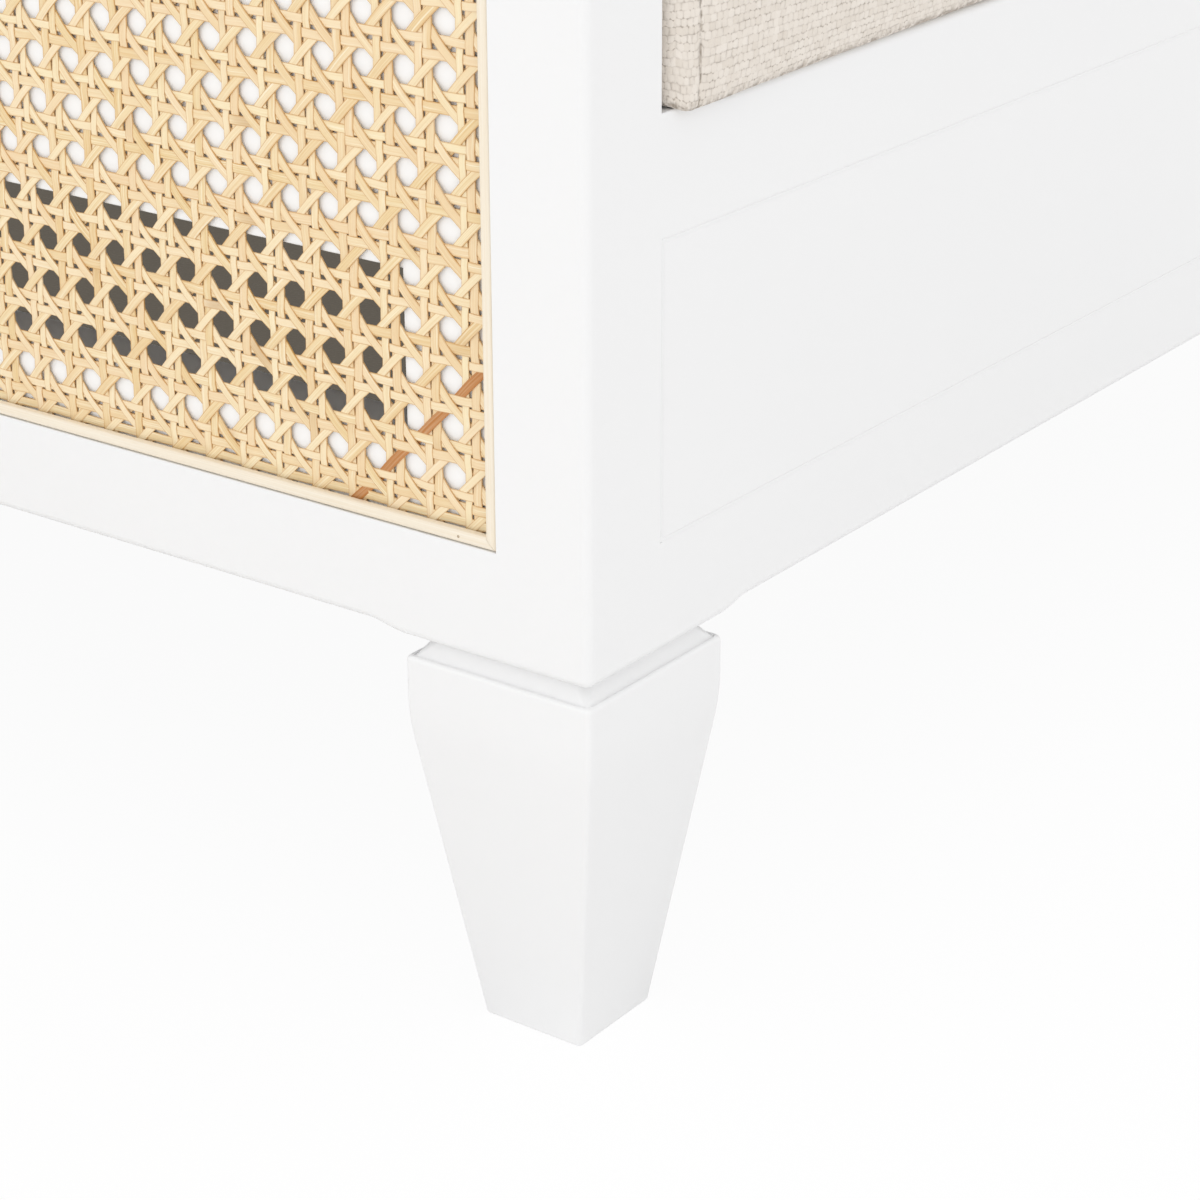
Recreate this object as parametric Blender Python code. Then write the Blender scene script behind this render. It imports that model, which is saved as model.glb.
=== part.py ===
"""Club chair: painted box frame, woven cane panels let into its sides and back, loose box cushions.

Metres, +Z up. The chair faces -Y, left is -X as seen from the front, and the origin lies on the floor
under the middle of the chair.
"""

import math

import bmesh
import bpy
from mathutils import Matrix, Vector

# Overall sizes
CHAIR_WIDTH = 0.720
CHAIR_DEPTH = 0.760
ARM_HEIGHT = 0.600
BACK_HEIGHT = 0.790
LEG_HEIGHT = 0.114

# Clearance that every pair of mating faces keeps
FIT = 0.0003

# Posts and rails
POST_SIZE = 0.060
FRAME_THICKNESS = 0.030
RAIL_LIFT = 0.0018
FRONT_RAIL_HEIGHT = 0.1385
LOW_RAIL_HEIGHT = 0.0515
TOP_RAIL_HEIGHT = 0.0515
SEAT_RAIL_RISE = 0.096
SEAT_RAIL_HEIGHT = 0.090
ARRIS = 0.0025
ARRIS_STEPS = 2

# Tenons and mortises
TENON_THICKNESS = 0.010
TENON_LENGTH = 0.014
TENON_SHOULDER = 0.008
TENON_ROOT = 0.003

# V-groove rectangle on the front
GROOVE_WIDTH = 0.0012
GROOVE_SIDE_MARGIN = 0.031
GROOVE_LOW_MARGIN = 0.029
GROOVE_TOP_MARGIN = 0.0315

# Cane panels: a recess in the frame, the webbing in it, and mitred beads over the webbing's edge
BORDER_WIDTH = 0.030
RECESS_DEPTH = 0.0045
CANE_THICKNESS = 0.0018
CANE_PITCH = 0.0762
CANE_STRAND = 0.028
BEAD_WIDTH = 0.0047
BEAD_ROUND = 0.0008

# Legs
LEG_WIDTH = 0.0595
LEG_FOOT = 0.0325
LEG_NECK = 0.0507
LEG_NECK_HEIGHT = 0.0012
LEG_SHOULDER_DROP = 0.0040
LEG_LIP = 0.0006
LEG_LIP_DROP = 0.0010
LEG_LIP_STEPS = 2
LEG_STRAIGHT = 0.010
LEG_BEND_RADIUS = 0.085
LEG_BEND_STEPS = 4
LEG_EDGE = 0.0015
FOOT_EASE = 0.001

# Hanger bolts
BOLT_DIAMETER = 0.008
BOLT_IN_LEG = 0.022
BOLT_IN_POST = 0.028
BOLT_SIDES = 12

# Seat support
SPRING_COUNT = 5
SPRING_SPACING = 0.112
SPRING_WIDTH = 0.044
SPRING_TURN = 0.012
SPRING_BARS = 13
SPRING_WIRE = 0.004
CLEAT_WIDTH = 0.025
CLEAT_HEIGHT = 0.032
DECK_THICKNESS = 0.009
DUST_COVER_THICKNESS = 0.001
DUST_COVER_MARGIN = 0.012

# Cushions
CUSHION_SIDE_GAP = 0.002
CUSHION_EDGE = 0.014
CUSHION_DRAW = 0.004
CUSHION_CUTS = 5
COVER_THICKNESS = 0.003
CORE_GAP = 0.0004
ZIP_LENGTH = 0.420
ZIP_WIDTH = 0.004
SEAT_CUSHION_HEIGHT = 0.158
SEAT_FRONT_SETBACK = 0.002
SEAT_CROWN = 0.010
BACK_CUSHION_RISE = 0.020
BACK_CUSHION_THICKNESS = 0.170
BACK_CUSHION_TAPER = 0.030
BACK_CROWN = 0.022

# How far a cutter reaches past the face it opens
OVERCUT = 0.002

# Levels and planes that the pieces share
RAIL_BASE = LEG_HEIGHT + RAIL_LIFT
SEAT_LEVEL = RAIL_BASE + FRONT_RAIL_HEIGHT
SEAT_RAIL_BASE = RAIL_BASE + SEAT_RAIL_RISE
HALF_WIDTH = CHAIR_WIDTH / 2
FRONT = -CHAIR_DEPTH / 2
REAR = CHAIR_DEPTH / 2
INNER_SIDE = HALF_WIDTH - FRAME_THICKNESS
INNER_BACK = REAR - FRAME_THICKNESS
POST_INNER_X = HALF_WIDTH - POST_SIZE
POST_INNER_FRONT = FRONT + POST_SIZE
POST_INNER_REAR = REAR - POST_SIZE
BOARD_INSET = RECESS_DEPTH
BEAD_DEPTH = RECESS_DEPTH - CANE_THICKNESS - 2 * FIT
SEAT_TOP = SEAT_LEVEL + FIT + SEAT_CUSHION_HEIGHT
CUSHION_WIDTH = 2 * (INNER_SIDE - CUSHION_SIDE_GAP)
CUSHION_BACK = INNER_BACK - FIT
SEAT_CUSHION_FRONT = FRONT + SEAT_FRONT_SETBACK
SEAT_CUSHION_DEPTH = CUSHION_BACK - SEAT_CUSHION_FRONT
SEAT_CUSHION_MIDDLE = SEAT_CUSHION_FRONT + SEAT_CUSHION_DEPTH / 2
BACK_CUSHION_FRONT = CUSHION_BACK - BACK_CUSHION_THICKNESS

SIDES = {"left": -1, "right": 1}
ENDS = {"front": -1, "rear": 1}


def clear_scene():
    for item in list(bpy.data.objects):
        bpy.data.objects.remove(item, do_unlink=True)


def new_collection(name):
    collection = bpy.data.collections.new(name)
    bpy.context.scene.collection.children.link(collection)
    return collection


def new_finish(name, colour, roughness, metallic=0.0):
    finish = bpy.data.materials.new(name)
    finish.use_nodes = True
    shader = finish.node_tree.nodes["Principled BSDF"]
    shader.inputs["Base Color"].default_value = (*colour, 1.0)
    shader.inputs["Roughness"].default_value = roughness
    shader.inputs["Metallic"].default_value = metallic
    return finish


clear_scene()
CHAIR = new_collection("club_chair")
CUTTERS = new_collection("cutters")

PAINT = new_finish("white_paint", (0.86, 0.86, 0.85), 0.38)
BARE_WOOD = new_finish("bare_wood", (0.62, 0.47, 0.31), 0.7)
BEAD_WOOD = new_finish("bead_wood", (0.90, 0.84, 0.74), 0.5)
CANE = new_finish("cane", (0.82, 0.64, 0.38), 0.5)
CLOTH = new_finish("basket_weave_cloth", (0.75, 0.69, 0.63), 0.9)
FOAM = new_finish("foam", (0.88, 0.84, 0.70), 0.95)
FELT = new_finish("deck_felt", (0.45, 0.43, 0.40), 0.95)
BLACK_CLOTH = new_finish("black_cloth", (0.02, 0.02, 0.02), 0.95)
STEEL = new_finish("steel", (0.55, 0.55, 0.56), 0.35, 1.0)


def new_body(name):
    """An empty that carries the pieces of one rigid body."""
    empty = bpy.data.objects.new(name, None)
    CHAIR.objects.link(empty)
    return empty


FRAME = new_body("frame")
SEAT_CUSHION = new_body("seat_cushion")
BACK_CUSHION = new_body("back_cushion")


def add_piece(name, mesh, finish, body, location=(0, 0, 0)):
    mesh.name = name
    mesh.materials.append(finish)
    piece = bpy.data.objects.new(name, mesh)
    piece.location = location
    piece.parent = body
    CHAIR.objects.link(piece)
    return piece


def add_cutter(name, mesh, location=(0, 0, 0)):
    cutter = bpy.data.objects.new(name, mesh)
    cutter.location = location
    cutter.hide_render = True
    cutter.display_type = "WIRE"
    CUTTERS.objects.link(cutter)
    return cutter


def to_mesh(bm, name):
    mesh = bpy.data.meshes.new(name)
    bm.to_mesh(mesh)
    bm.free()
    return mesh


def box_bmesh(size):
    bm = bmesh.new()
    bmesh.ops.create_cube(bm, size=1.0)
    bmesh.ops.scale(bm, vec=size, verts=bm.verts)
    return bm


def on_face(point, half, face):
    """Whether a point of a box lies on the face named by its sign and axis, such as -x."""
    axis = "xyz".index(face[1])
    level = half[axis] if face[0] == "+" else -half[axis]
    return abs(point[axis] - level) < 1e-6


def loft(bm, rings):
    """A closed skin through rings of points, each counter-clockwise seen from the last ring's end."""
    loops = [[bm.verts.new(point) for point in ring] for ring in rings]
    for lower, upper in zip(loops, loops[1:]):
        for k in range(len(lower)):
            following = (k + 1) % len(lower)
            bm.faces.new((lower[k], lower[following], upper[following], upper[k]))
    bm.faces.new(reversed(loops[0]))
    bm.faces.new(loops[-1])


def eased_square(half, ease):
    """A square outline with its corners cut by the ease, counter-clockwise."""
    short = half - ease
    side = [(-short, -half), (short, -half)]
    outline = []
    for _ in range(4):
        outline += side
        side = [(-y, x) for x, y in side]
    return outline


def block(name, low, high, finish, body, rounded=(), radius=ARRIS):
    """A box between two corners. Each entry of rounded names an edge by its two faces, as in -x+z."""
    low, high = Vector(low), Vector(high)
    half = (high - low) / 2
    bm = box_bmesh(high - low)
    chosen = []
    for edge in bm.edges:
        middle = (edge.verts[0].co + edge.verts[1].co) / 2
        if any(on_face(middle, half, pair[:2]) and on_face(middle, half, pair[2:]) for pair in rounded):
            chosen.append(edge)
    if chosen:
        bmesh.ops.bevel(bm, geom=chosen, offset=radius, segments=ARRIS_STEPS, profile=0.5, affect="EDGES")
    return add_piece(name, to_mesh(bm, name), finish, body, (low + high) / 2)


def cutter_block(name, low, high):
    low, high = Vector(low), Vector(high)
    return add_cutter(name, to_mesh(box_bmesh(high - low), name), (low + high) / 2)


def combine(piece, other, operation):
    modifier = piece.modifiers.new(other.name, "BOOLEAN")
    modifier.operation = operation
    modifier.solver = "EXACT"
    modifier.object = other


def cut(piece, cutter):
    combine(piece, cutter, "DIFFERENCE")


def corners(axis, along, across, up):
    """Low and high corner of a box, from its ranges along its run, across it and upwards."""
    ranges = (along, across, up) if axis == "x" else (across, along, up)
    return [part[0] for part in ranges], [part[1] for part in ranges]


def grown(part, amount):
    return part[0] - amount, part[1] + amount


def rail(name, axis, span, across, up, posts, rounded=()):
    """A rail between two posts, with a tenon at each end in a mortise of the post."""
    piece = block(name, *corners(axis, grown(span, -FIT), across, up), PAINT, FRAME, rounded)
    middle = sum(across) / 2
    tenon_across = grown((middle, middle), TENON_THICKNESS / 2)
    tenon_up = grown(up, -TENON_SHOULDER)
    for face, outward, post in ((span[0], -1, posts[0]), (span[1], 1, posts[1])):
        tip = face + outward * TENON_LENGTH
        tenon_run = sorted((tip, face - outward * TENON_ROOT))
        mortise_run = sorted((tip + outward * FIT, face - outward * OVERCUT))
        tenon_box = corners(axis, tenon_run, tenon_across, tenon_up)
        mortise_box = corners(axis, mortise_run, grown(tenon_across, FIT), grown(tenon_up, FIT))
        combine(piece, cutter_block(f"{name}_tenon_{post.name}", *tenon_box), "UNION")
        cut(post, cutter_block(f"{name}_mortise_{post.name}", *mortise_box))
    return piece


def side_range(sign, inner, outer):
    """A range across the chair on one side, from its distances off the middle plane."""
    return tuple(sorted((sign * inner, sign * outer)))


def leg_centre(sign, end):
    return sign * (HALF_WIDTH - LEG_WIDTH / 2), end * (CHAIR_DEPTH / 2 - LEG_WIDTH / 2)


def make_post(side, end):
    """A square corner post, cut back above the seat to leave room for the cushions."""
    sign, turn = SIDES[side], ENDS[end]
    x_face = "-x" if sign < 0 else "+x"
    y_face = "-y" if turn < 0 else "+y"
    top = ARM_HEIGHT if end == "front" else BACK_HEIGHT
    across = side_range(sign, POST_INNER_X, HALF_WIDTH)
    along = side_range(turn, REAR - POST_SIZE, REAR)
    edges = (x_face + y_face, x_face + "+z", y_face + "+z", x_face + "-z", y_face + "-z")
    name = f"{end}_post_{side}"
    post = block(name, *corners("x", across, along, (LEG_HEIGHT, top)), PAINT, FRAME, edges)
    room_x = side_range(sign, POST_INNER_X - OVERCUT, INNER_SIDE)
    if end == "front":
        room_y = (FRONT - OVERCUT, POST_INNER_FRONT + OVERCUT)
    else:
        room_y = (POST_INNER_REAR - OVERCUT, INNER_BACK)
    room = corners("x", room_x, room_y, (SEAT_LEVEL, top + OVERCUT))
    cut(post, cutter_block(f"{name}_cushion_room", *room))
    return post


def make_rails(posts):
    low = (RAIL_BASE, RAIL_BASE + LOW_RAIL_HEIGHT)
    seat = (SEAT_RAIL_BASE, SEAT_RAIL_BASE + SEAT_RAIL_HEIGHT)
    across_run = (-POST_INNER_X, POST_INNER_X)
    side_run = (POST_INNER_FRONT, POST_INNER_REAR)
    rails = {}
    front_pair = (posts["front", "left"], posts["front", "right"])
    rear_pair = (posts["rear", "left"], posts["rear", "right"])
    front_depth = (FRONT, FRONT + FRAME_THICKNESS)
    back_depth = (INNER_BACK, REAR)
    front_up = (RAIL_BASE, SEAT_LEVEL)
    crest_up = (BACK_HEIGHT - TOP_RAIL_HEIGHT, BACK_HEIGHT)
    arm_up = (ARM_HEIGHT - TOP_RAIL_HEIGHT, ARM_HEIGHT)
    front_edges = ("-y-z", "-y+z")
    rails["front"] = rail("front_rail", "x", across_run, front_depth, front_up, front_pair, front_edges)
    rails["back_low"] = rail("back_bottom_rail", "x", across_run, back_depth, low, rear_pair, ("+y-z",))
    rails["crest"] = rail("crest_rail", "x", across_run, back_depth, crest_up, rear_pair, ("+y+z", "-y+z"))
    board_depth = (INNER_BACK, REAR - BOARD_INSET)
    rails["seat_back"] = rail("seat_back_rail", "x", across_run, board_depth, seat, rear_pair)
    for side, sign in SIDES.items():
        pair = (posts["front", side], posts["rear", side])
        outer = "-x" if sign < 0 else "+x"
        inner = "+x" if sign < 0 else "-x"
        thick = side_range(sign, INNER_SIDE, HALF_WIDTH)
        board = side_range(sign, INNER_SIDE, HALF_WIDTH - BOARD_INSET)
        rails["low", side] = rail(f"bottom_rail_{side}", "y", side_run, thick, low, pair, (outer + "-z",))
        arm_edges = (outer + "+z", inner + "+z")
        rails["arm", side] = rail(f"arm_rail_{side}", "y", side_run, thick, arm_up, pair, arm_edges)
        rails["seat", side] = rail(f"seat_rail_{side}", "y", side_run, board, seat, pair)
    return rails


def cut_groove(posts, rails):
    """The fine V-groove that draws a rectangle across the front rail and both front posts."""
    half_x = HALF_WIDTH - GROOVE_SIDE_MARGIN
    low = RAIL_BASE + GROOVE_LOW_MARGIN
    high = SEAT_LEVEL - GROOVE_TOP_MARGIN
    thickness = GROOVE_WIDTH / math.sqrt(2)
    quarter_turn = math.radians(45)

    def bar(name, length, axis, location):
        size = (length, thickness, thickness) if axis == "X" else (thickness, thickness, length)
        bm = box_bmesh(size)
        bmesh.ops.rotate(bm, cent=(0, 0, 0), matrix=Matrix.Rotation(quarter_turn, 3, axis), verts=bm.verts)
        return add_cutter(name, to_mesh(bm, name), location)

    levels = {"low": low, "high": high}
    lines = [bar(f"groove_{name}", 2 * half_x, "X", (0, FRONT, z)) for name, z in levels.items()]
    for line in lines:
        cut(rails["front"], line)
    for side, sign in SIDES.items():
        post = posts["front", side]
        for line in lines:
            cut(post, line)
        middle = (low + high) / 2
        cut(post, bar(f"groove_{side}", high - low + GROOVE_WIDTH, "Z", (sign * half_x, FRONT, middle)))


def panel_planes():
    """Each cane panel: its range along the frame, its range upwards, and its place in the chair.

    A panel's own x runs along the frame, its y upwards, and its z inwards from the frame's outer face.
    """
    low = RAIL_BASE + BORDER_WIDTH
    side_run = (FRONT + BORDER_WIDTH, REAR - BORDER_WIDTH)
    back_run = (-HALF_WIDTH + BORDER_WIDTH, HALF_WIDTH - BORDER_WIDTH)
    side_up = (low, ARM_HEIGHT - BORDER_WIDTH)
    back_up = (low, BACK_HEIGHT - BORDER_WIDTH)
    left = Matrix(((0, 0, 1, -HALF_WIDTH), (1, 0, 0, 0), (0, 1, 0, 0), (0, 0, 0, 1)))
    right = Matrix(((0, 0, -1, HALF_WIDTH), (1, 0, 0, 0), (0, 1, 0, 0), (0, 0, 0, 1)))
    back = Matrix(((1, 0, 0, 0), (0, 0, -1, REAR), (0, 1, 0, 0), (0, 0, 0, 1)))
    return {
        "left": (side_run, side_up, left),
        "right": (side_run, side_up, right),
        "back": (back_run, back_up, back),
    }


def set_in_place(bm, place):
    """Moves a panel piece from the panel's own axes to the chair's, with its faces still outwards."""
    bmesh.ops.transform(bm, matrix=place, verts=bm.verts)
    if place.determinant() < 0:
        bmesh.ops.reverse_faces(bm, faces=bm.faces)


def panel_box(place, run, up, depth):
    first = place @ Vector((run[0], up[0], depth[0]))
    second = place @ Vector((run[1], up[1], depth[1]))
    low = [min(pair) for pair in zip(first, second)]
    high = [max(pair) for pair in zip(first, second)]
    return low, high


def cut_recess(name, run, up, place, members):
    recess = cutter_block(f"recess_{name}", *panel_box(place, run, up, (-OVERCUT, RECESS_DEPTH)))
    for member in members:
        cut(member, recess)


def grid_lines(edge, sight, pitch):
    """Edges of the webbing's cells along one direction: a margin, equal cells, a margin."""
    count = max(1, round((sight[1] - sight[0]) / pitch))
    step = (sight[1] - sight[0]) / count
    return [edge[0]] + [sight[0] + i * step for i in range(count + 1)] + [edge[1]]


def octagon(x_range, y_range, strand):
    """The eight corners of a cell's opening, left between strands of equal width."""
    half_x = (x_range[1] - x_range[0] - strand) / 2
    half_y = (y_range[1] - y_range[0] - strand) / 2
    middle_x, middle_y = sum(x_range) / 2, sum(y_range) / 2
    short = math.tan(math.radians(22.5))
    upper = [(1, short), (short, 1), (-short, 1), (-1, short)]
    ring = upper + [(-x, -y) for x, y in upper]
    return [(middle_x + half_x * x, middle_y + half_y * y) for x, y in ring]


def make_cane(name, run, up, place):
    """A flat net of octagonal openings, solid only along the margin that the beads hold."""
    edge_x, edge_y = grown(run, -FIT), grown(up, -FIT)
    xs = grid_lines(edge_x, grown(run, -BEAD_WIDTH), CANE_PITCH)
    ys = grid_lines(edge_y, grown(up, -BEAD_WIDTH), CANE_PITCH)
    bm = bmesh.new()

    def point(x, y):
        return bm.verts.new((x, y, 0))

    for i in range(len(xs) - 1):
        for j in range(len(ys) - 1):
            left, right, low, high = xs[i], xs[i + 1], ys[j], ys[j + 1]
            corner = [point(right, high), point(left, high), point(left, low), point(right, low)]
            if i in (0, len(xs) - 2) or j in (0, len(ys) - 2):
                bm.faces.new(corner)
                continue
            hole = [point(x, y) for x, y in octagon(xs[i:i + 2], ys[j:j + 2], CANE_STRAND)]
            for k in range(4):
                first, second, third = hole[2 * k], hole[2 * k + 1], hole[(2 * k + 2) % 8]
                bm.faces.new((corner[k], second, first))
                bm.faces.new((corner[k], corner[(k + 1) % 4], third, second))
    bmesh.ops.remove_doubles(bm, verts=bm.verts, dist=1e-5)
    bmesh.ops.translate(bm, vec=(0, 0, RECESS_DEPTH - FIT), verts=bm.verts)
    bmesh.ops.solidify(bm, geom=bm.faces[:], thickness=CANE_THICKNESS)
    set_in_place(bm, place)
    return add_piece(f"cane_{name}", to_mesh(bm, name), CANE, FRAME)


def bead_section():
    """A bead's section, from the recess wall inwards and from the outer face in: round outer edges."""
    near, far = FIT, FIT + BEAD_WIDTH
    outer = [(near, BEAD_ROUND), (near + BEAD_ROUND, 0), (far - BEAD_ROUND, 0), (far, BEAD_ROUND)]
    return outer + [(far, BEAD_DEPTH), (near, BEAD_DEPTH)]


def make_beads(name, run, up, place):
    """Four mitred strips around the recess, over the webbing's edge and flush with the frame."""
    corner = {("low", "first"): (run[0], up[0]), ("low", "last"): (run[1], up[0])}
    corner.update({("high", "first"): (run[0], up[1]), ("high", "last"): (run[1], up[1])})
    strips = {
        "bottom": (("low", "first"), ("low", "last")),
        "top": (("high", "last"), ("high", "first")),
        "first": (("high", "first"), ("low", "first")),
        "last": (("low", "last"), ("high", "last")),
    }
    side_names = {"first": "front", "last": "rear"}
    if name == "back":
        side_names = {"first": "left", "last": "right"}
    for strip, (start, stop) in strips.items():
        begin, finish = Vector(corner[start]), Vector(corner[stop])
        direction = (finish - begin).normalized()
        inward = Vector((-direction.y, direction.x))
        length = (finish - begin).length
        bm = bmesh.new()
        ends = []
        for stop_end in (False, True):
            ring = []
            for across, depth in bead_section():
                mitre = across + FIT
                along = length - mitre if stop_end else mitre
                flat = begin + direction * along + inward * across
                ring.append((flat.x, flat.y, depth))
            ends.append(ring)
        loft(bm, ends)
        set_in_place(bm, place)
        label = side_names.get(strip, strip)
        add_piece(f"bead_{name}_{label}", to_mesh(bm, f"bead_{name}_{label}"), BEAD_WOOD, FRAME)


def make_panels(posts, rails):
    members = {"back": [posts["rear", "left"], posts["rear", "right"], rails["back_low"], rails["crest"]]}
    for side in SIDES:
        members[side] = [posts["front", side], posts["rear", side], rails["low", side], rails["arm", side]]
    for name, (run, up, place) in panel_planes().items():
        cut_recess(name, run, up, place, members[name])
        make_cane(name, run, up, place)
        make_beads(name, run, up, place)


def leg_levels():
    """Half widths of a leg from the floor up.

    An eased foot, a straight taper, a bend, a straight top, a rounded lip, a sloped shoulder and a neck.
    """
    top, foot, neck = LEG_WIDTH / 2, LEG_FOOT / 2, LEG_NECK / 2
    shoulder_level = LEG_HEIGHT - LEG_NECK_HEIGHT
    lip_level = shoulder_level - LEG_SHOULDER_DROP - LEG_LIP_DROP
    bend_level = lip_level - LEG_STRAIGHT
    slope = 0.0
    for _ in range(20):
        bend_foot = bend_level - LEG_BEND_RADIUS * math.sin(slope)
        bend_half = top - LEG_BEND_RADIUS * (1 - math.cos(slope))
        slope = math.atan2(bend_half - foot, bend_foot - FOOT_EASE)
    levels = [(0.0, foot - FOOT_EASE), (FOOT_EASE, foot)]
    for step in range(LEG_BEND_STEPS + 1):
        turn = slope * (1 - step / LEG_BEND_STEPS)
        half = top - LEG_BEND_RADIUS * (1 - math.cos(turn))
        levels.append((bend_level - LEG_BEND_RADIUS * math.sin(turn), half))
    for step in range(LEG_LIP_STEPS + 1):
        turn = math.radians(90) * step / LEG_LIP_STEPS
        half = top - LEG_LIP * (1 - math.cos(turn))
        levels.append((lip_level + LEG_LIP_DROP * math.sin(turn), half))
    levels += [(shoulder_level, neck), (LEG_HEIGHT - FIT, neck)]
    return levels


def make_leg(end, side):
    """A square leg with eased upright edges, lofted through its levels."""
    bm = bmesh.new()
    loft(bm, [[(x, y, z) for x, y in eased_square(half, LEG_EDGE)] for z, half in leg_levels()])
    name = f"leg_{end}_{side}"
    x, y = leg_centre(SIDES[side], ENDS[end])
    return add_piece(name, to_mesh(bm, name), PAINT, FRAME, (x, y, 0))


def cylinder_bmesh(radius, height):
    bm = bmesh.new()
    bmesh.ops.create_cone(
        bm, cap_ends=True, segments=BOLT_SIDES, radius1=radius, radius2=radius, depth=height
    )
    return bm


def make_bolt(end, side, leg, post):
    """A hanger bolt down the leg's middle, into the foot of the post above it."""
    name = f"leg_bolt_{end}_{side}"
    x, y = leg_centre(SIDES[side], ENDS[end])
    low, high = LEG_HEIGHT - BOLT_IN_LEG, LEG_HEIGHT + BOLT_IN_POST
    centre = (x, y, (low + high) / 2)
    bolt_mesh = to_mesh(cylinder_bmesh(BOLT_DIAMETER / 2, high - low), name)
    bolt = add_piece(name, bolt_mesh, STEEL, FRAME, centre)
    hole_mesh = to_mesh(cylinder_bmesh(BOLT_DIAMETER / 2 + FIT, high - low + 2 * FIT), f"{name}_hole")
    hole = add_cutter(f"{name}_hole", hole_mesh, centre)
    cut(leg, hole)
    cut(post, hole)
    return bolt


def spring_level():
    return SEAT_LEVEL - DECK_THICKNESS - FIT - SPRING_WIRE / 2


def cleat_runs():
    """Ranges from front to rear of the two cleats, each against the rail that carries it."""
    front = (FRONT + FRAME_THICKNESS + FIT, FRONT + FRAME_THICKNESS + FIT + CLEAT_WIDTH)
    rear = (INNER_BACK - FIT - CLEAT_WIDTH, INNER_BACK - FIT)
    return {"front": front, "rear": rear}


def make_cleats():
    """Cleats on the front rail and the seat back rail, each with a ledge for the springs' end bars."""
    top = spring_level() + SPRING_WIRE / 2
    run_x = (-POST_INNER_X + FIT, POST_INNER_X - FIT)
    for end, depth in cleat_runs().items():
        name = f"{end}_spring_cleat"
        cleat = block(name, *corners("x", run_x, depth, (top - CLEAT_HEIGHT, top)), BARE_WOOD, FRAME)
        inwards = -ENDS[end]
        wall = sum(depth) / 2 - inwards * (SPRING_WIRE / 2 + FIT)
        ledge_y = sorted((wall, wall + inwards * CLEAT_WIDTH))
        ledge_z = (top - SPRING_WIRE - FIT, top + OVERCUT)
        cut(cleat, cutter_block(f"{name}_ledge", *corners("x", grown(run_x, OVERCUT), ledge_y, ledge_z)))


def spring_points(middle_x):
    """A flat zigzag of cross bars joined by round turns, from one cleat's ledge to the other's."""
    runs = cleat_runs()
    start, stop = sum(runs["front"]) / 2, sum(runs["rear"]) / 2
    pitch = (stop - start) / (SPRING_BARS - 1)
    reach = SPRING_WIDTH / 2
    points = []
    for bar in range(SPRING_BARS):
        heading = 1 if bar % 2 == 0 else -1
        y = start + bar * pitch
        points += [(middle_x - heading * reach, y), (middle_x + heading * reach, y)]
        if bar < SPRING_BARS - 1:
            for turn in (math.radians(60), math.radians(120)):
                bulge = math.sin(turn) * SPRING_TURN
                points.append((middle_x + heading * (reach + bulge), y + (1 - math.cos(turn)) * pitch / 2))
    return points


def make_spring(index):
    middle_x = (index - (SPRING_COUNT - 1) / 2) * SPRING_SPACING
    points = spring_points(middle_x)
    name = f"seat_spring_{index + 1}"
    curve = bpy.data.curves.new(name, "CURVE")
    curve.dimensions = "3D"
    curve.bevel_depth = SPRING_WIRE / 2
    curve.bevel_resolution = 0
    curve.use_fill_caps = True
    spline = curve.splines.new("POLY")
    spline.points.add(len(points) - 1)
    for target, (x, y) in zip(spline.points, points):
        target.co = (x, y, spring_level(), 1.0)
    add_piece(name, curve, STEEL, FRAME)


def make_deck():
    """The felt pad over the springs, level with the front rail's top."""
    run_x = (-POST_INNER_X + FIT, POST_INNER_X - FIT)
    run_y = (FRONT + FRAME_THICKNESS + FIT, INNER_BACK - FIT)
    block("deck_pad", *corners("x", run_x, run_y, (SEAT_LEVEL - DECK_THICKNESS, SEAT_LEVEL)), FELT, FRAME)


def make_dust_cover():
    """Thin black cloth under the rails, cut out round the four posts."""
    outer_x, outer_y = HALF_WIDTH - DUST_COVER_MARGIN, CHAIR_DEPTH / 2 - DUST_COVER_MARGIN
    inner_x, inner_y = POST_INNER_X - FIT, CHAIR_DEPTH / 2 - POST_SIZE - FIT
    quarter = [(outer_x, inner_y), (inner_x, inner_y), (inner_x, outer_y)]
    outline = quarter + [(-x, y) for x, y in reversed(quarter)]
    outline += [(-x, -y) for x, y in quarter] + [(x, -y) for x, y in reversed(quarter)]
    curve = bpy.data.curves.new("dust_cover", "CURVE")
    curve.dimensions = "2D"
    curve.fill_mode = "BOTH"
    curve.extrude = DUST_COVER_THICKNESS / 2
    spline = curve.splines.new("POLY")
    spline.points.add(len(outline) - 1)
    spline.use_cyclic_u = True
    for target, (x, y) in zip(spline.points, outline):
        target.co = (x, y, 0.0, 1.0)
    level = RAIL_BASE - FIT - DUST_COVER_THICKNESS / 2
    add_piece("dust_cover", curve, BLACK_CLOTH, FRAME, (0, 0, level))


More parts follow.
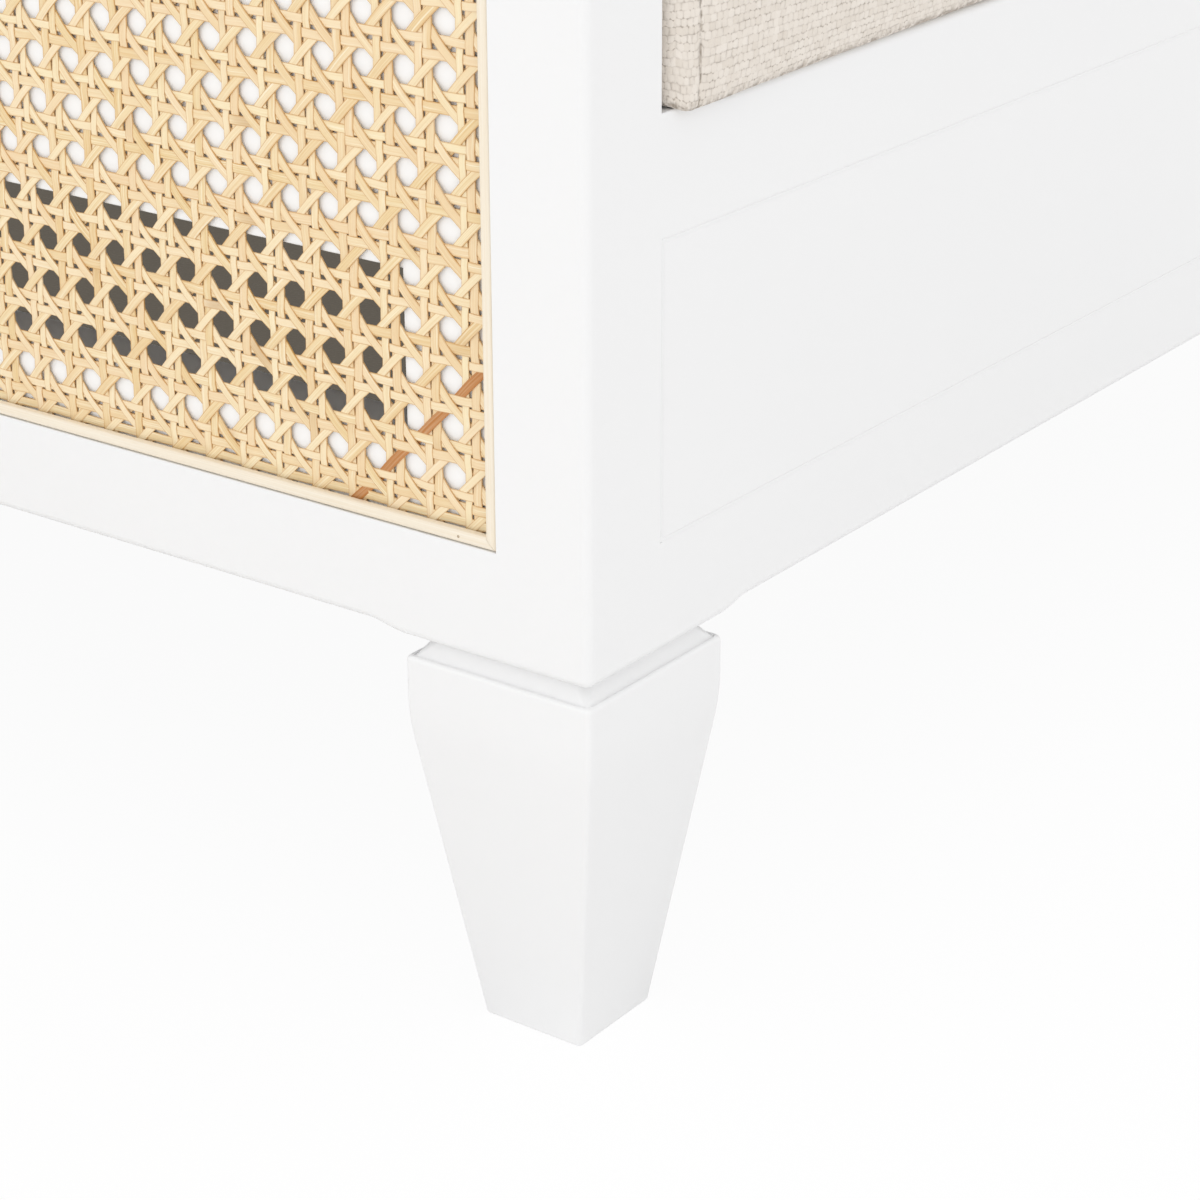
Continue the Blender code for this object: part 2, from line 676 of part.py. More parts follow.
def cushion_bmesh(size, crown, edge, inset=0.0):
    """A boxed cushion lying flat: round edges, sides drawn in between corners, crowned on top.

    crown gives the rise above the flat top at a place of the top, from -1 to 1 each way. inset shrinks
    the whole form, for what lies inside it.
    """
    half = Vector(size) / 2
    bm = bmesh.new()
    bmesh.ops.create_cube(bm, size=2.0)
    bmesh.ops.subdivide_edges(bm, edges=bm.edges[:], cuts=CUSHION_CUTS, use_grid_fill=True)
    last_line = 1 - 2 / (CUSHION_CUTS + 1)
    for vert in bm.verts:
        outer = [abs(c) > 0.999 for c in vert.co]
        ease = edge * (1 - 1 / math.sqrt(sum(outer)))
        place = Vector((0, 0, 0))
        for axis in range(3):
            if outer[axis]:
                place[axis] = math.copysign(half[axis] - inset - ease, vert.co[axis])
            else:
                place[axis] = vert.co[axis] / last_line * (half[axis] - inset - edge)
        u, v, w = (place[axis] / half[axis] for axis in range(3))
        place.x -= CUSHION_DRAW * u * (1 - v * v)
        place.y -= CUSHION_DRAW * v * (1 - u * u)
        place.z += crown(u, v) * max(0.0, w)
        vert.co = place
    bmesh.ops.triangulate(bm, faces=bm.faces, quad_method="FIXED")
    return bm


def make_cushion(name, body, size, crown, location, turn):
    """A cushion's cover, open along its zip, and the foam core inside it."""
    cover = add_piece(f"{name}_cover", to_mesh(cushion_bmesh(size, crown, CUSHION_EDGE), name), CLOTH, body)
    hollow_mesh = to_mesh(cushion_bmesh(size, crown, CUSHION_EDGE, COVER_THICKNESS), f"{name}_hollow")
    hollow = add_cutter(f"{name}_hollow", hollow_mesh)
    core_inset = COVER_THICKNESS + CORE_GAP
    core_mesh = to_mesh(cushion_bmesh(size, crown, CUSHION_EDGE, core_inset), f"{name}_core")
    core = add_piece(f"{name}_core", core_mesh, FOAM, body)
    zip_depth = 4 * COVER_THICKNESS + 2 * CUSHION_DRAW
    zip_mesh = to_mesh(box_bmesh((ZIP_LENGTH, zip_depth, ZIP_WIDTH)), f"{name}_zip")
    zip_cutter = add_cutter(f"{name}_zip", zip_mesh)
    for item in (cover, hollow, core):
        item.location = location
        item.rotation_euler.x = turn
    return cover, hollow, zip_cutter


def seat_crown(u, v):
    """Rise of the seat cushion's domed top, at a place from -1 to 1 each way."""
    return SEAT_CROWN * (1 - u * u) * (1 - v * v)


def make_seat_cushion():
    size = (CUSHION_WIDTH, SEAT_CUSHION_DEPTH, SEAT_CUSHION_HEIGHT)
    location = (0, SEAT_CUSHION_MIDDLE, SEAT_TOP - SEAT_CUSHION_HEIGHT / 2)
    cover, hollow, zip_cutter = make_cushion("seat_cushion", SEAT_CUSHION, size, seat_crown, location, 0.0)
    zip_cutter.location = (0, CUSHION_BACK - CUSHION_DRAW, location[2])
    cut(cover, hollow)
    cut(cover, zip_cutter)


def make_back_cushion():
    """The back cushion stands on the seat cushion's dome, thinner towards its top."""
    rest = (BACK_CUSHION_FRONT - SEAT_CUSHION_MIDDLE) / (SEAT_CUSHION_DEPTH / 2)
    bottom = SEAT_TOP + seat_crown(0, rest) + FIT
    height = BACK_HEIGHT + BACK_CUSHION_RISE - bottom

    def crown(u, v):
        taper = BACK_CUSHION_TAPER * (v + 1) / 2
        return BACK_CROWN * (1 - u * u) * (1 - v * v) - taper

    size = (CUSHION_WIDTH, height, BACK_CUSHION_THICKNESS)
    location = (0, CUSHION_BACK - BACK_CUSHION_THICKNESS / 2, bottom + height / 2)
    turn = math.radians(90)
    cover, hollow, zip_cutter = make_cushion("back_cushion", BACK_CUSHION, size, crown, location, turn)
    zip_cutter.location = (0, location[1], bottom + CUSHION_DRAW)
    zip_cutter.rotation_euler.x = turn
    cut(cover, hollow)
    cut(cover, zip_cutter)


def make_chair():
    posts = {(end, side): make_post(side, end) for end in ENDS for side in SIDES}
    rails = make_rails(posts)
    cut_groove(posts, rails)
    make_panels(posts, rails)
    for end in ENDS:
        for side in SIDES:
            make_bolt(end, side, make_leg(end, side), posts[end, side])
    make_cleats()
    for index in range(SPRING_COUNT):
        make_spring(index)
    make_deck()
    make_dust_cover()
    make_seat_cushion()
    make_back_cushion()


make_chair()
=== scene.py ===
import math

import bmesh
import bpy
import numpy as np
from mathutils import Matrix, Vector


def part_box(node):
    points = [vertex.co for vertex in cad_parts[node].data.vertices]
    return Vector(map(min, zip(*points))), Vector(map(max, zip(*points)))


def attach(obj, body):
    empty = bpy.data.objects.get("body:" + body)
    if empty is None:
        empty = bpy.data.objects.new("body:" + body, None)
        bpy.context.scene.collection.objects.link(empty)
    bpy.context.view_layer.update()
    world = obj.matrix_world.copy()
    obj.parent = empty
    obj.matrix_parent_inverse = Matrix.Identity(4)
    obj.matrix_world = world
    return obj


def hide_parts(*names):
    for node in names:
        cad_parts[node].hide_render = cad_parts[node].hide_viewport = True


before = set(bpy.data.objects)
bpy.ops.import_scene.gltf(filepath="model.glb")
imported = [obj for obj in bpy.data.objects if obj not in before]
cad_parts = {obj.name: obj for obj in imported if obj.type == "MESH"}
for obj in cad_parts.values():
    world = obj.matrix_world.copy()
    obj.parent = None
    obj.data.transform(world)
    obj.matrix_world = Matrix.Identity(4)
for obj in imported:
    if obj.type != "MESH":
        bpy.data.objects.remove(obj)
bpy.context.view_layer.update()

# Where the chair's members stand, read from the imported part
FRONT_POST, REAR_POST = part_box("front_post_left"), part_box("rear_post_left")
FRONT_RAIL, LOW_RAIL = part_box("front_rail"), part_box("bottom_rail_left")
ARM_RAIL, CREST_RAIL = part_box("arm_rail_left"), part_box("crest_rail")
SIDE_X, POST_X = -FRONT_POST[0].x, -FRONT_POST[1].x
FRONT_Y, POST_FRONT_Y = FRONT_POST[0].y, FRONT_POST[1].y
POST_REAR_Y, REAR_Y = REAR_POST[0].y, REAR_POST[1].y
FRAME_THICKNESS = FRONT_RAIL[1].y - FRONT_RAIL[0].y
INNER_X = SIDE_X - FRAME_THICKNESS
INNER_FRONT_Y = FRONT_Y + FRAME_THICKNESS
INNER_REAR_Y = REAR_Y - FRAME_THICKNESS
POST_BASE = FRONT_POST[0].z
RAIL_BASE, SEAT_LEVEL = FRONT_RAIL[0].z, FRONT_RAIL[1].z
LOW_RAIL_TOP = LOW_RAIL[1].z
ARM_UNDER, ARM_TOP = ARM_RAIL[0].z, ARM_RAIL[1].z
CREST_UNDER, BACK_TOP = CREST_RAIL[0].z, CREST_RAIL[1].z
X, Y, Z = range(3)

# Painted frame
ARRIS = 0.0026
INNER_ARRIS = 0.0007
BOARD_ARRIS = 0.0006
ARRIS_STEPS = 5
TOUCH = 1e-5
STEP_RUN = 0.012
STEP_CUTS = 8
BORDER = 0.0287
RECESS_DEPTH = 0.0045
LOW_RAIL_CHAMFER = 0.008
GROOVE_WIDTH = 0.0015
GROOVE_DEPTH = 0.00045
GROOVE_SIDE = 0.031
GROOVE_LOW = 0.029
GROOVE_HIGH = 0.107
FLAT_ANGLE = math.radians(0.5)
SHARP_ANGLE = math.radians(38)

# Legs
LEG_WIDTH = 0.0595
LEG_FOOT = 0.0325
LEG_NECK = 0.0507
LEG_NECK_HEIGHT = 0.0012
LEG_SHOULDER_DROP = 0.0040
LEG_QUIRK = 0.0005
LEG_LIP = 0.0011
LEG_LIP_DROP = 0.0013
LEG_LIP_STEPS = 5
LEG_STRAIGHT = 0.0097
LEG_BEND_RADIUS = 0.085
LEG_BEND_STEPS = 14
LEG_EDGE = 0.0015
LEG_NECK_EDGE = 0.004
LEG_EDGE_STEPS = 5
FOOT_EASE = 0.001
FOOT_EASE_STEPS = 4

# Cane webbing: the lattice of its holes, from the chair's front corner and the rail's foot
CANE_PITCH = 0.0127
HOLE_FROM_FRONT = 0.0447
HOLE_FROM_RAIL = 0.0451
PAIR_HALF_GAP = 0.00165
STRAND_WIDTH = 0.0026
DIAGONAL_WIDTH = 0.0025
STRAND_THICKNESS = 0.00046
STRAND_FLATNESS = 0.42
STRAND_WANDER = 0.00024
STRAND_WOBBLE = 0.0017
STRAND_SPREAD = 0.26
CANE_RISE = 0.00044
STRAIGHT_RISE = CANE_RISE * 0.6
CANE_INSET = 0.0036
CANE_MARGIN = 0.0003
BROWN_STRAND = 3
FOOT_STRAND_IN = 0.0010

# Beads
BEAD_WIDTH = 0.0034
BEAD_DEPTH = 0.0021
BEAD_GAP = 0.00015
BEAD_ROUND = 0.0011
BEAD_ROUND_STEPS = 5
BEAD_STATIONS = 13
BRAD_SIZE = 0.0008
BRAD_SIDES = 10
BRAD_LEVELS = (-0.0004, 0.00004)
BRAD_SPACING = 0.170
BRAD_FROM_CORNER = 0.012
BRAD_FROM_CORNER_UP = BRAD_SPACING * 0.9

# Camera: its lens, its yaw, pitch and roll in degrees, and its place from the chair's lower front corner
LENS = 90.28
SENSOR = 36.0
CAMERA_TURN = (53.786, 23.019, -0.154)
CAMERA_PLACE = (-0.5462, -0.4034, 0.3118)

# Light: the world's strength, each lamp's direction towards it with its strength and its width in degrees
WORLD_LIGHT = 1.03
LAMPS = {
    "side lamp": ((-0.95, -0.05, 0.40), 0.28, 60),
    "rear lamp": ((0.60, 0.62, 0.50), 0.16, 60),
}
FLOOR_WHITENESS = 0.95
FLOOR_SIZE = 60.0

# Cloth: its weave, and the share of the dust cloth that is open between its threads
CLOTH_CELL_ACROSS = 0.0023
CLOTH_CELL_UP = 0.00185
WEAVE_WANDER = 0.0013
DUST_CLOTH_OPEN = 0.125
DUST_CLOTH_CELLS = 48

# Covers: the lines of their meshes, given from a box's edges, and the seams
COVER_CELL = 0.012
DECK_CELL = 0.02
SEAM_IN = 0.0095
SEAM_DEPTH = 0.0006
EDGE_LINES = (0.0, 0.003, 0.0065, SEAM_IN, 0.0125, 0.020)
FOOT_LINES = (0.0, 0.0015, 0.004, 0.008, 0.014)
DECK_LINES = (0.0, 0.003, 0.008)
FAR_FROM_SEAMS = 0.1
FOOT_SHADE = 0.2
SIDE_CLOTH_SHIFT = 0.41
PANEL_CLOTH_SHIFT = 0.17

# Cushions: upright, top and foot radius of each, how softly each side is pressed, how far a part stands out
SEAT_RADII = (0.0070, 0.013, 0.0022)
BACK_RADII = (0.016, 0.016, 0.010)
DECK_RADII = (0.008, 0.003, 0.003)
SEAT_SOFT = (0.003, 0.004, 0.004)
BACK_SOFT = (0.004, 0.004, 0.005)
SWELL = 0.004
SIDE_DRAW = 0.003
SIDE_ROOM = 0.0012
FRONT_BULGE = 0.003
SEAT_FRONT_PROUD = 0.003
SEAT_FRONT_HANG = 0.0030
HANG_HEIGHT = 0.02
SEAT_CROWN = 0.010
BACK_CROWN = 0.022
BACK_TAPER = 0.030
BACK_THICKNESS = 0.170
BACK_RISE = 0.004
COVER_FRAMES = 20
COVER_MOST = 0.022
COVER_CLOTH = {
    "quality": 6,
    "mass": 0.3,
    "tension_stiffness": 18,
    "compression_stiffness": 18,
    "shear_stiffness": 8,
    "bending_stiffness": 0.8,
    "use_pressure": True,
    "uniform_pressure_force": 4.0,
}


def operator(operation, swapped=False):
    """A method that reckons with a wire and another value, for the class below."""

    def apply(wire, other):
        return wire.nodes.maths(operation, *((other, wire) if swapped else (wire, other)))

    return apply


class Wire:
    """A node's output, which can be reckoned with like a number."""

    def __init__(self, nodes, socket):
        self.nodes, self.socket = nodes, socket

    __add__, __mul__, __pow__ = operator("ADD"), operator("MULTIPLY"), operator("POWER")
    __sub__, __rsub__ = operator("SUBTRACT"), operator("SUBTRACT", True)
    __truediv__, __rtruediv__ = operator("DIVIDE"), operator("DIVIDE", True)


class Nodes:
    """A node tree, with short ways to add nodes to it."""

    def __init__(self, tree):
        self.tree = tree

    def link(self, value, socket):
        """Link a wire to a socket, or set the socket's own constant."""
        if isinstance(value, Wire):
            self.tree.links.new(value.socket, socket)
        else:
            socket.default_value = (*value, 1) if socket.type == "RGBA" else value

    def add(self, kind, inputs=None, output=0, **settings):
        made = self.tree.nodes.new(kind)
        for name, value in settings.items():
            setattr(made, name, value)
        for socket, value in (inputs or {}).items():
            self.link(value, made.inputs[socket])
        return Wire(self, made.outputs[output])

    def maths(self, operation, *values):
        return self.add("ShaderNodeMath", dict(enumerate(values)), operation=operation)

    def vectors(self, operation, inputs):
        return self.add("ShaderNodeVectorMath", inputs, operation=operation)

    def combine(self, x, y, z):
        return self.add("ShaderNodeCombineXYZ", {"X": x, "Y": y, "Z": z})

    def parts(self, vector):
        made = self.add("ShaderNodeSeparateXYZ", {0: vector}).socket.node
        return [Wire(self, socket) for socket in made.outputs]

    def noise(self, place, scale, detail=2.0, roughness=0.5, output=0):
        inputs = {"Vector": place, "Scale": scale, "Detail": detail, "Roughness": roughness}
        return self.add("ShaderNodeTexNoise", inputs, output)

    def white(self, place):
        return self.add("ShaderNodeTexWhiteNoise", {"Vector": place}, "Value", noise_dimensions="3D")

    def ramp(self, value, low, high, first=0.0, last=1.0, way="LINEAR"):
        inputs = {"Value": value, "From Min": low, "From Max": high, "To Min": first, "To Max": last}
        return self.add("ShaderNodeMapRange", inputs, interpolation_type=way)

    def mix(self, share, first, second):
        """A colour between two others."""
        made = self.add("ShaderNodeMix", {"Factor": share}, data_type="RGBA").socket.node
        for colour, socket in zip((first, second), [s for s in made.inputs if s.type == "RGBA"]):
            self.link(colour, socket)
        return Wire(self, next(s for s in made.outputs if s.type == "RGBA"))

    def bump(self, height, distance, strength=1.0):
        return self.add("ShaderNodeBump", {"Height": height, "Distance": distance, "Strength": strength})

    def place(self):
        return self.add("ShaderNodeTexCoord", output="Object")

    def uv(self, name):
        return self.add("ShaderNodeUVMap", uv_map=name)

    def attribute(self, name):
        return self.add("ShaderNodeAttribute", output="Fac", attribute_name=name)

    def rays(self, *names):
        made = self.tree.nodes.new("ShaderNodeLightPath")
        return [Wire(self, made.outputs[name]) for name in names]

    def use(self, group, inputs):
        made = self.add("ShaderNodeGroup", inputs, node_tree=group).socket.node
        return [Wire(self, socket) for socket in made.outputs]


class Finish(Nodes):
    """A material's nodes around one Principled surface."""

    def __init__(self, name, base, roughness, specular=0.5):
        self.material = bpy.data.materials.new(name)
        self.material.use_nodes = True
        self.material.diffuse_color = (*base, 1)
        super().__init__(self.material.node_tree)
        self.surface = self.tree.nodes["Principled BSDF"]
        self.set("Base Color", base)
        self.set("Roughness", roughness)
        self.set("Specular IOR Level", specular)

    def set(self, socket, value):
        self.link(value, self.surface.inputs[socket])

    def mix_surface(self, share, other):
        """Show another shader in place of a share of the surface."""
        surface = Wire(self, self.surface.outputs[0])
        shown = self.add("ShaderNodeMixShader", {0: share, 1: surface, 2: other})
        self.link(shown, self.tree.nodes["Material Output"].inputs["Surface"])


def new_group(name, kind, inputs, outputs, output_kind="Float"):
    """A node group, its inputs as wires by name, and the sockets of its outputs.

    An input is given by its value, or by the kind of its socket.
    """
    tree = bpy.data.node_groups.new(name, f"{kind}NodeTree")
    for label, value in inputs.items():
        word = value if isinstance(value, str) else type(value).__name__.capitalize()
        socket = tree.interface.new_socket(label, in_out="INPUT", socket_type=f"NodeSocket{word}")
        if word != value:
            socket.default_value = value
    for label in outputs:
        tree.interface.new_socket(label, in_out="OUTPUT", socket_type=f"NodeSocket{output_kind}")
    nodes = Nodes(tree)
    entry = tree.nodes.new("NodeGroupInput")
    given = {label: Wire(nodes, entry.outputs[label]) for label in inputs}
    return nodes, given, tree.nodes.new("NodeGroupOutput").inputs


# Shared effects of the materials
def paint_film_group():
    """Brushed paint: a faint unevenness of tone and gloss, and the film's fine ripple."""
    nodes, given, made = new_group("paint film", "Shader", {"Place": "Vector"}, ("Tone", "Gloss", "Height"))
    broad = nodes.noise(given["Place"], 9.0, 3.0)
    fine = nodes.noise(given["Place"], 420.0, 4.0)
    ripple = nodes.noise(given["Place"], 70.0, 2.0)
    nodes.link(broad * 0.8 + 0.1, made["Tone"])
    nodes.link(fine * 0.5 + 0.25, made["Gloss"])
    nodes.link(ripple * 2.2 + fine, made["Height"])
    return nodes.tree


def fibre_group():
    """Streaks along a run: its length in one input, its width across in the other."""
    inputs = {"Along": 0.0, "Across": 0.0, "Offset": 0.0, "Streak Length": 30.0, "Streak Count": 4.0}
    nodes, given, made = new_group("fibre streaks", "Shader", inputs, ("Streak", "Cloud"))
    along = given["Along"] * given["Streak Length"]
    across = given["Across"] * given["Streak Count"]
    offset = given["Offset"] * 97.0
    nodes.link(nodes.noise(nodes.combine(along, across, offset), 1.0, 3.0, 0.6), made["Streak"])
    nodes.link(nodes.noise(nodes.combine(along, offset, 0.0), 0.6, 2.0), made["Cloud"])
    return nodes.tree


def basket_weave_group():
    """Coarse weave on a cloth's own lengths: floats set off from row to row, pinholes, and each yarn's tone."""
    inputs = {"Cloth": "Vector", "Cell Across": CLOTH_CELL_ACROSS, "Cell Up": CLOTH_CELL_UP}
    nodes, given, made = new_group("basket weave", "Shader", inputs, ("Height", "Pinhole", "Yarn"))
    cloth = given["Cloth"]
    wander = nodes.noise(cloth, 260.0, 4.0, 0.6, "Color")
    shift = nodes.vectors("SUBTRACT", {0: wander, 1: (0.5, 0.5, 0.5)})
    shift = nodes.vectors("SCALE", {0: shift, "Scale": WEAVE_WANDER})
    x, y, _ = nodes.parts(nodes.vectors("ADD", {0: cloth, 1: shift}))
    up = y / given["Cell Up"]
    row = nodes.maths("FLOOR", up)
    row_tone = nodes.white(nodes.combine(row, 0.5, 7.0))
    across = x / given["Cell Across"] + (row_tone * 0.4 + nodes.maths("PINGPONG", row, 1.0) * 0.5)
    column = nodes.maths("FLOOR", across)
    arch_across = nodes.maths("SINE", nodes.maths("FRACT", across) * math.pi)
    arch_up = nodes.maths("SINE", nodes.maths("FRACT", up) * math.pi)
    height = arch_up**0.28 * (arch_across**0.32 * 0.9 + 0.1)
    depth = nodes.ramp(nodes.noise(cloth, 330.0, 2.0), 0.40, 0.66, 0.15)
    height = 1.0 - (1.0 - height) * depth
    pinhole = nodes.ramp((1.0 - arch_across) * (1.0 - arch_up), 0.22, 0.62, way="SMOOTHSTEP")
    knot = nodes.combine(nodes.maths("ROUND", across), nodes.maths("ROUND", up), 3.0)
    float_tone = nodes.white(nodes.combine(column, row, 1.0))
    fibre = nodes.noise(cloth, 2600.0, 2.0)
    nodes.link(fibre * 0.18 + height, made["Height"])
    nodes.link(pinhole * nodes.white(knot) ** 1.5, made["Pinhole"])
    nodes.link(fibre * 0.30 + (float_tone * 0.45 + row_tone * 0.25), made["Yarn"])
    return nodes.tree


PAINT_FILM = paint_film_group()
FIBRE_STREAKS = fibre_group()
BASKET_WEAVE = basket_weave_group()


# Finishes
def paint_finish(name, base, roughness, specular, dark, pale):
    """Brushed paint, its tone between a darker and a paler colour, and how glossy each place of it is."""
    finish = Finish(name, base, roughness, specular)
    tone, gloss, height = finish.use(PAINT_FILM, {"Place": finish.place()})
    finish.set("Base Color", finish.mix(tone, dark, pale))
    finish.set("Normal", finish.bump(height, 0.00004, 0.5))
    return finish, gloss


def white_paint():
    finish, gloss = paint_finish(
        "white paint", (0.87, 0.87, 0.872), 0.42, 0.4, (0.862, 0.862, 0.864), (0.878, 0.878, 0.880)
    )
    finish.set("Roughness", gloss * 0.12 + 0.37)
    return finish.material


def undercoat_finish():
    """A primer paler than the white paint, for the faces behind the cane: painted light, standing in for the light
    that comes through the cane's holes onto them.
    """
    finish, _ = paint_finish(
        "white undercoat", (0.95, 0.945, 0.935), 0.6, 0.3, (0.94, 0.935, 0.925), (0.96, 0.955, 0.945)
    )
    return finish.material


def cane_finish():
    """Split cane: each strand its own tone, streaked along its length, with painted shade browning its edges and
    painted highlights on some streaks, some of it brown.
    """
    pale, honey, blush, painted_gleam = (0.92, 0.78, 0.51), (0.76, 0.515, 0.215), (0.90, 0.70, 0.47), (0.97, 0.90, 0.72)
    edge_shade_brown, fleck_brown, strand_brown = (0.58, 0.29, 0.07), (0.42, 0.21, 0.07), (0.50, 0.19, 0.045)
    finish = Finish("split cane", (0.80, 0.62, 0.38), 0.42, 0.45)
    tone, along, across, brown = (finish.attribute(name) for name in ("tone", "along", "across", "brown"))
    run = {"Along": along, "Across": across, "Offset": tone, "Streak Length": 45.0, "Streak Count": 3.6}
    streak, cloud = finish.use(FIBRE_STREAKS, run)
    colour = finish.mix(cloud * 0.7 + (tone * 0.85 + streak * 2.1 - 1.54), pale, honey)
    colour = finish.mix(finish.maths("FRACT", tone * 7.3) * 0.6, colour, blush)
    # Painted highlight: whitish streaks along the strands
    colour = finish.mix(finish.ramp(streak, 0.42, 0.27, last=0.55), colour, painted_gleam)
    # Painted shade: the strands' edges turn brown, standing in for the warm shade in the gaps between strands
    edge = finish.ramp(finish.maths("ABSOLUTE", across), 0.68, 0.94, last=0.75, way="SMOOTHSTEP")
    colour = finish.mix(edge * (streak + 0.35), colour, edge_shade_brown)
    colour = finish.mix(finish.ramp(cloud, 0.66, 0.80, last=0.5), colour, fleck_brown)
    colour = finish.mix(brown * (streak * 0.9 + 0.45), colour, strand_brown)
    finish.set("Base Color", colour)
    finish.set("Roughness", streak * 0.2 + 0.32)
    finish.set("Normal", finish.bump(streak, 0.00012, 0.6))
    return finish.material


def bead_finish():
    finish = Finish("bead wood", (0.86, 0.78, 0.66), 0.45, 0.4)
    along, across, _ = finish.parts(finish.uv("run"))
    run = {"Along": along, "Across": across, "Streak Length": 22.0, "Streak Count": 2400.0}
    streak, _ = finish.use(FIBRE_STREAKS, run)
    finish.set("Base Color", finish.mix(streak * 1.3 - 0.25, (0.92, 0.85, 0.73), (0.83, 0.71, 0.53)))
    finish.set("Normal", finish.bump(streak, 0.00008, 0.5))
    return finish.material


def cloth_finish():
    """Coarse basket-weave cloth with a little fuzz, drawn in along its seams, with painted shade in the hollows of
    its weave, in its pinholes, in its seams and along a seat's foot.
    """
    finish = Finish("basket weave cloth", (0.77, 0.70, 0.63), 0.9, 0.2)
    cloth = finish.uv("cloth")
    weave, pinhole, yarn = finish.use(BASKET_WEAVE, {"Cloth": cloth})
    colour = finish.mix(yarn, (0.722, 0.650, 0.570), (0.857, 0.793, 0.722))
    # Painted shade: the cloth darker in the hollows of its weave
    colour = finish.mix((1.0 - weave) * 0.55, colour, (0.50, 0.42, 0.34))
    # Painted shade: dark pinholes between the yarns
    colour = finish.mix(pinhole * 0.75, colour, (0.36, 0.30, 0.24))
    from_upright, from_level, _ = finish.parts(finish.uv("seam"))
    seam_valley_and_shade = finish.ramp(finish.maths("MINIMUM", from_upright, from_level), 0.0001, 0.0007, 1.0, 0.0)
    seam_valley_and_shade = seam_valley_and_shade * finish.ramp(finish.noise(cloth, 420.0, 2.0), 0.40, 0.62)
    # Painted shade in the seams' creases and along a seat's foot, broken into short runs; the same valley also dents
    # the cloth's bump
    finish.set("Base Color", finish.mix(seam_valley_and_shade * 0.85, colour, (0.30, 0.235, 0.175)))
    finish.set("Normal", finish.bump(weave - seam_valley_and_shade * 1.6, 0.00045, 0.8))
    finish.set("Sheen Weight", 0.25)
    finish.set("Sheen Roughness", 0.6)
    return finish.material


def felt_finish():
    finish = Finish("deck felt", (0.45, 0.43, 0.40), 0.95, 0.1)
    place = finish.place()
    tuft, patch = finish.noise(place, 480.0, 4.0), finish.noise(place, 22.0, 3.0)
    finish.set("Base Color", finish.mix(tuft * 0.6 + patch * 0.4, (0.39, 0.37, 0.345), (0.51, 0.49, 0.455)))
    finish.set("Normal", finish.bump(tuft, 0.0006))
    finish.set("Sheen Weight", 0.3)
    return finish.material


def dust_cloth_finish():
    """Thin dark cloth that lets a little light through between its threads, that light tinted warm as painted light
    for the warm light inside the chair.
    """
    finish = Finish("dust cloth", (0.06, 0.055, 0.05), 0.85, 0.2)
    place = finish.place()
    web = finish.add("ShaderNodeTexVoronoi", {"Vector": place, "Scale": 520.0}, feature="DISTANCE_TO_EDGE")
    patch = finish.noise(place, 30.0, 4.0)
    finish.set("Base Color", finish.mix(patch, (0.045, 0.041, 0.037), (0.075, 0.069, 0.062)))
    finish.set("Normal", finish.bump(web, 0.0004, 0.7))
    # Painted light: what shows through the threads is tinted warm
    finish.mix_surface(DUST_CLOTH_OPEN, finish.add("ShaderNodeBsdfTransparent", {"Color": (1.0, 0.88, 0.72)}))
    return finish.material


def steel_finish():
    finish = Finish("drawn steel", (0.45, 0.45, 0.46), 0.35)
    drawn = finish.noise(finish.place(), 160.0, 5.0)
    finish.set("Base Color", finish.mix(drawn, (0.36, 0.36, 0.37), (0.55, 0.55, 0.56)))
    finish.set("Roughness", drawn * 0.3 + 0.22)
    finish.set("Metallic", 1.0)
    return finish.material


def bare_wood_finish():
    finish = Finish("bare wood", (0.60, 0.44, 0.28), 0.7, 0.3)
    x, y, z = finish.parts(finish.place())
    streak, _ = finish.use(
        FIBRE_STREAKS, {"Along": x, "Across": y + z, "Streak Length": 6.0, "Streak Count": 500.0}
    )
    finish.set("Base Color", finish.mix(streak, (0.66, 0.50, 0.33), (0.45, 0.30, 0.17)))
    finish.set("Normal", finish.bump(streak, 0.0003, 0.6))
    return finish.material


def brad_finish():
    finish = Finish("brad hole", (0.48, 0.38, 0.27), 0.7, 0.3)
    mottle = finish.noise(finish.place(), 900.0)
    finish.set("Base Color", finish.mix(mottle, (0.40, 0.31, 0.21), (0.58, 0.47, 0.34)))
    return finish.material


PAINT = white_paint()
# Paler than the white paint: painted light on the faces behind the cane
BRIGHTENED_UNDERCOAT = undercoat_finish()
CANE = cane_finish()
BEAD_WOOD = bead_finish()
CLOTH = cloth_finish()
FELT = felt_finish()
DUST_CLOTH = dust_cloth_finish()
STEEL = steel_finish()
BARE_WOOD = bare_wood_finish()
BRAD = brad_finish()


# Pieces
def add_object(name, data):
    made = bpy.data.objects.new(name, data)
    bpy.context.scene.collection.objects.link(made)
    return made


def add_piece(name, mesh, material, body, slot, *nodes):
    """A piece in place that stands for CAD nodes and moves with their body."""
    mesh.name = name
    mesh.materials.clear()
    mesh.materials.append(material)
    piece = add_object(name, mesh)
    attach(piece, body)
    if nodes:
        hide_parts(*nodes)
    return piece


def evaluated_mesh(made):
    depsgraph = bpy.context.evaluated_depsgraph_get()
    return bpy.data.meshes.new_from_object(made.evaluated_get(depsgraph))


def remove_object(made):
    mesh = made.data
    bpy.data.objects.remove(made)
    bpy.data.meshes.remove(mesh)


def to_mesh(bm, name="scratch"):
    mesh = bpy.data.meshes.new(name)
    bm.to_mesh(mesh)
    bm.free()
    return mesh


def box_bmesh(corner, other):
    """A box between two opposite corners."""
    bm = bmesh.new()
    bmesh.ops.create_cube(bm, size=1.0)
    bmesh.ops.scale(bm, vec=[abs(b - a) for a, b in zip(corner, other)], verts=bm.verts)
    bmesh.ops.translate(bm, vec=[(a + b) / 2 for a, b in zip(corner, other)], verts=bm.verts)
    return bm


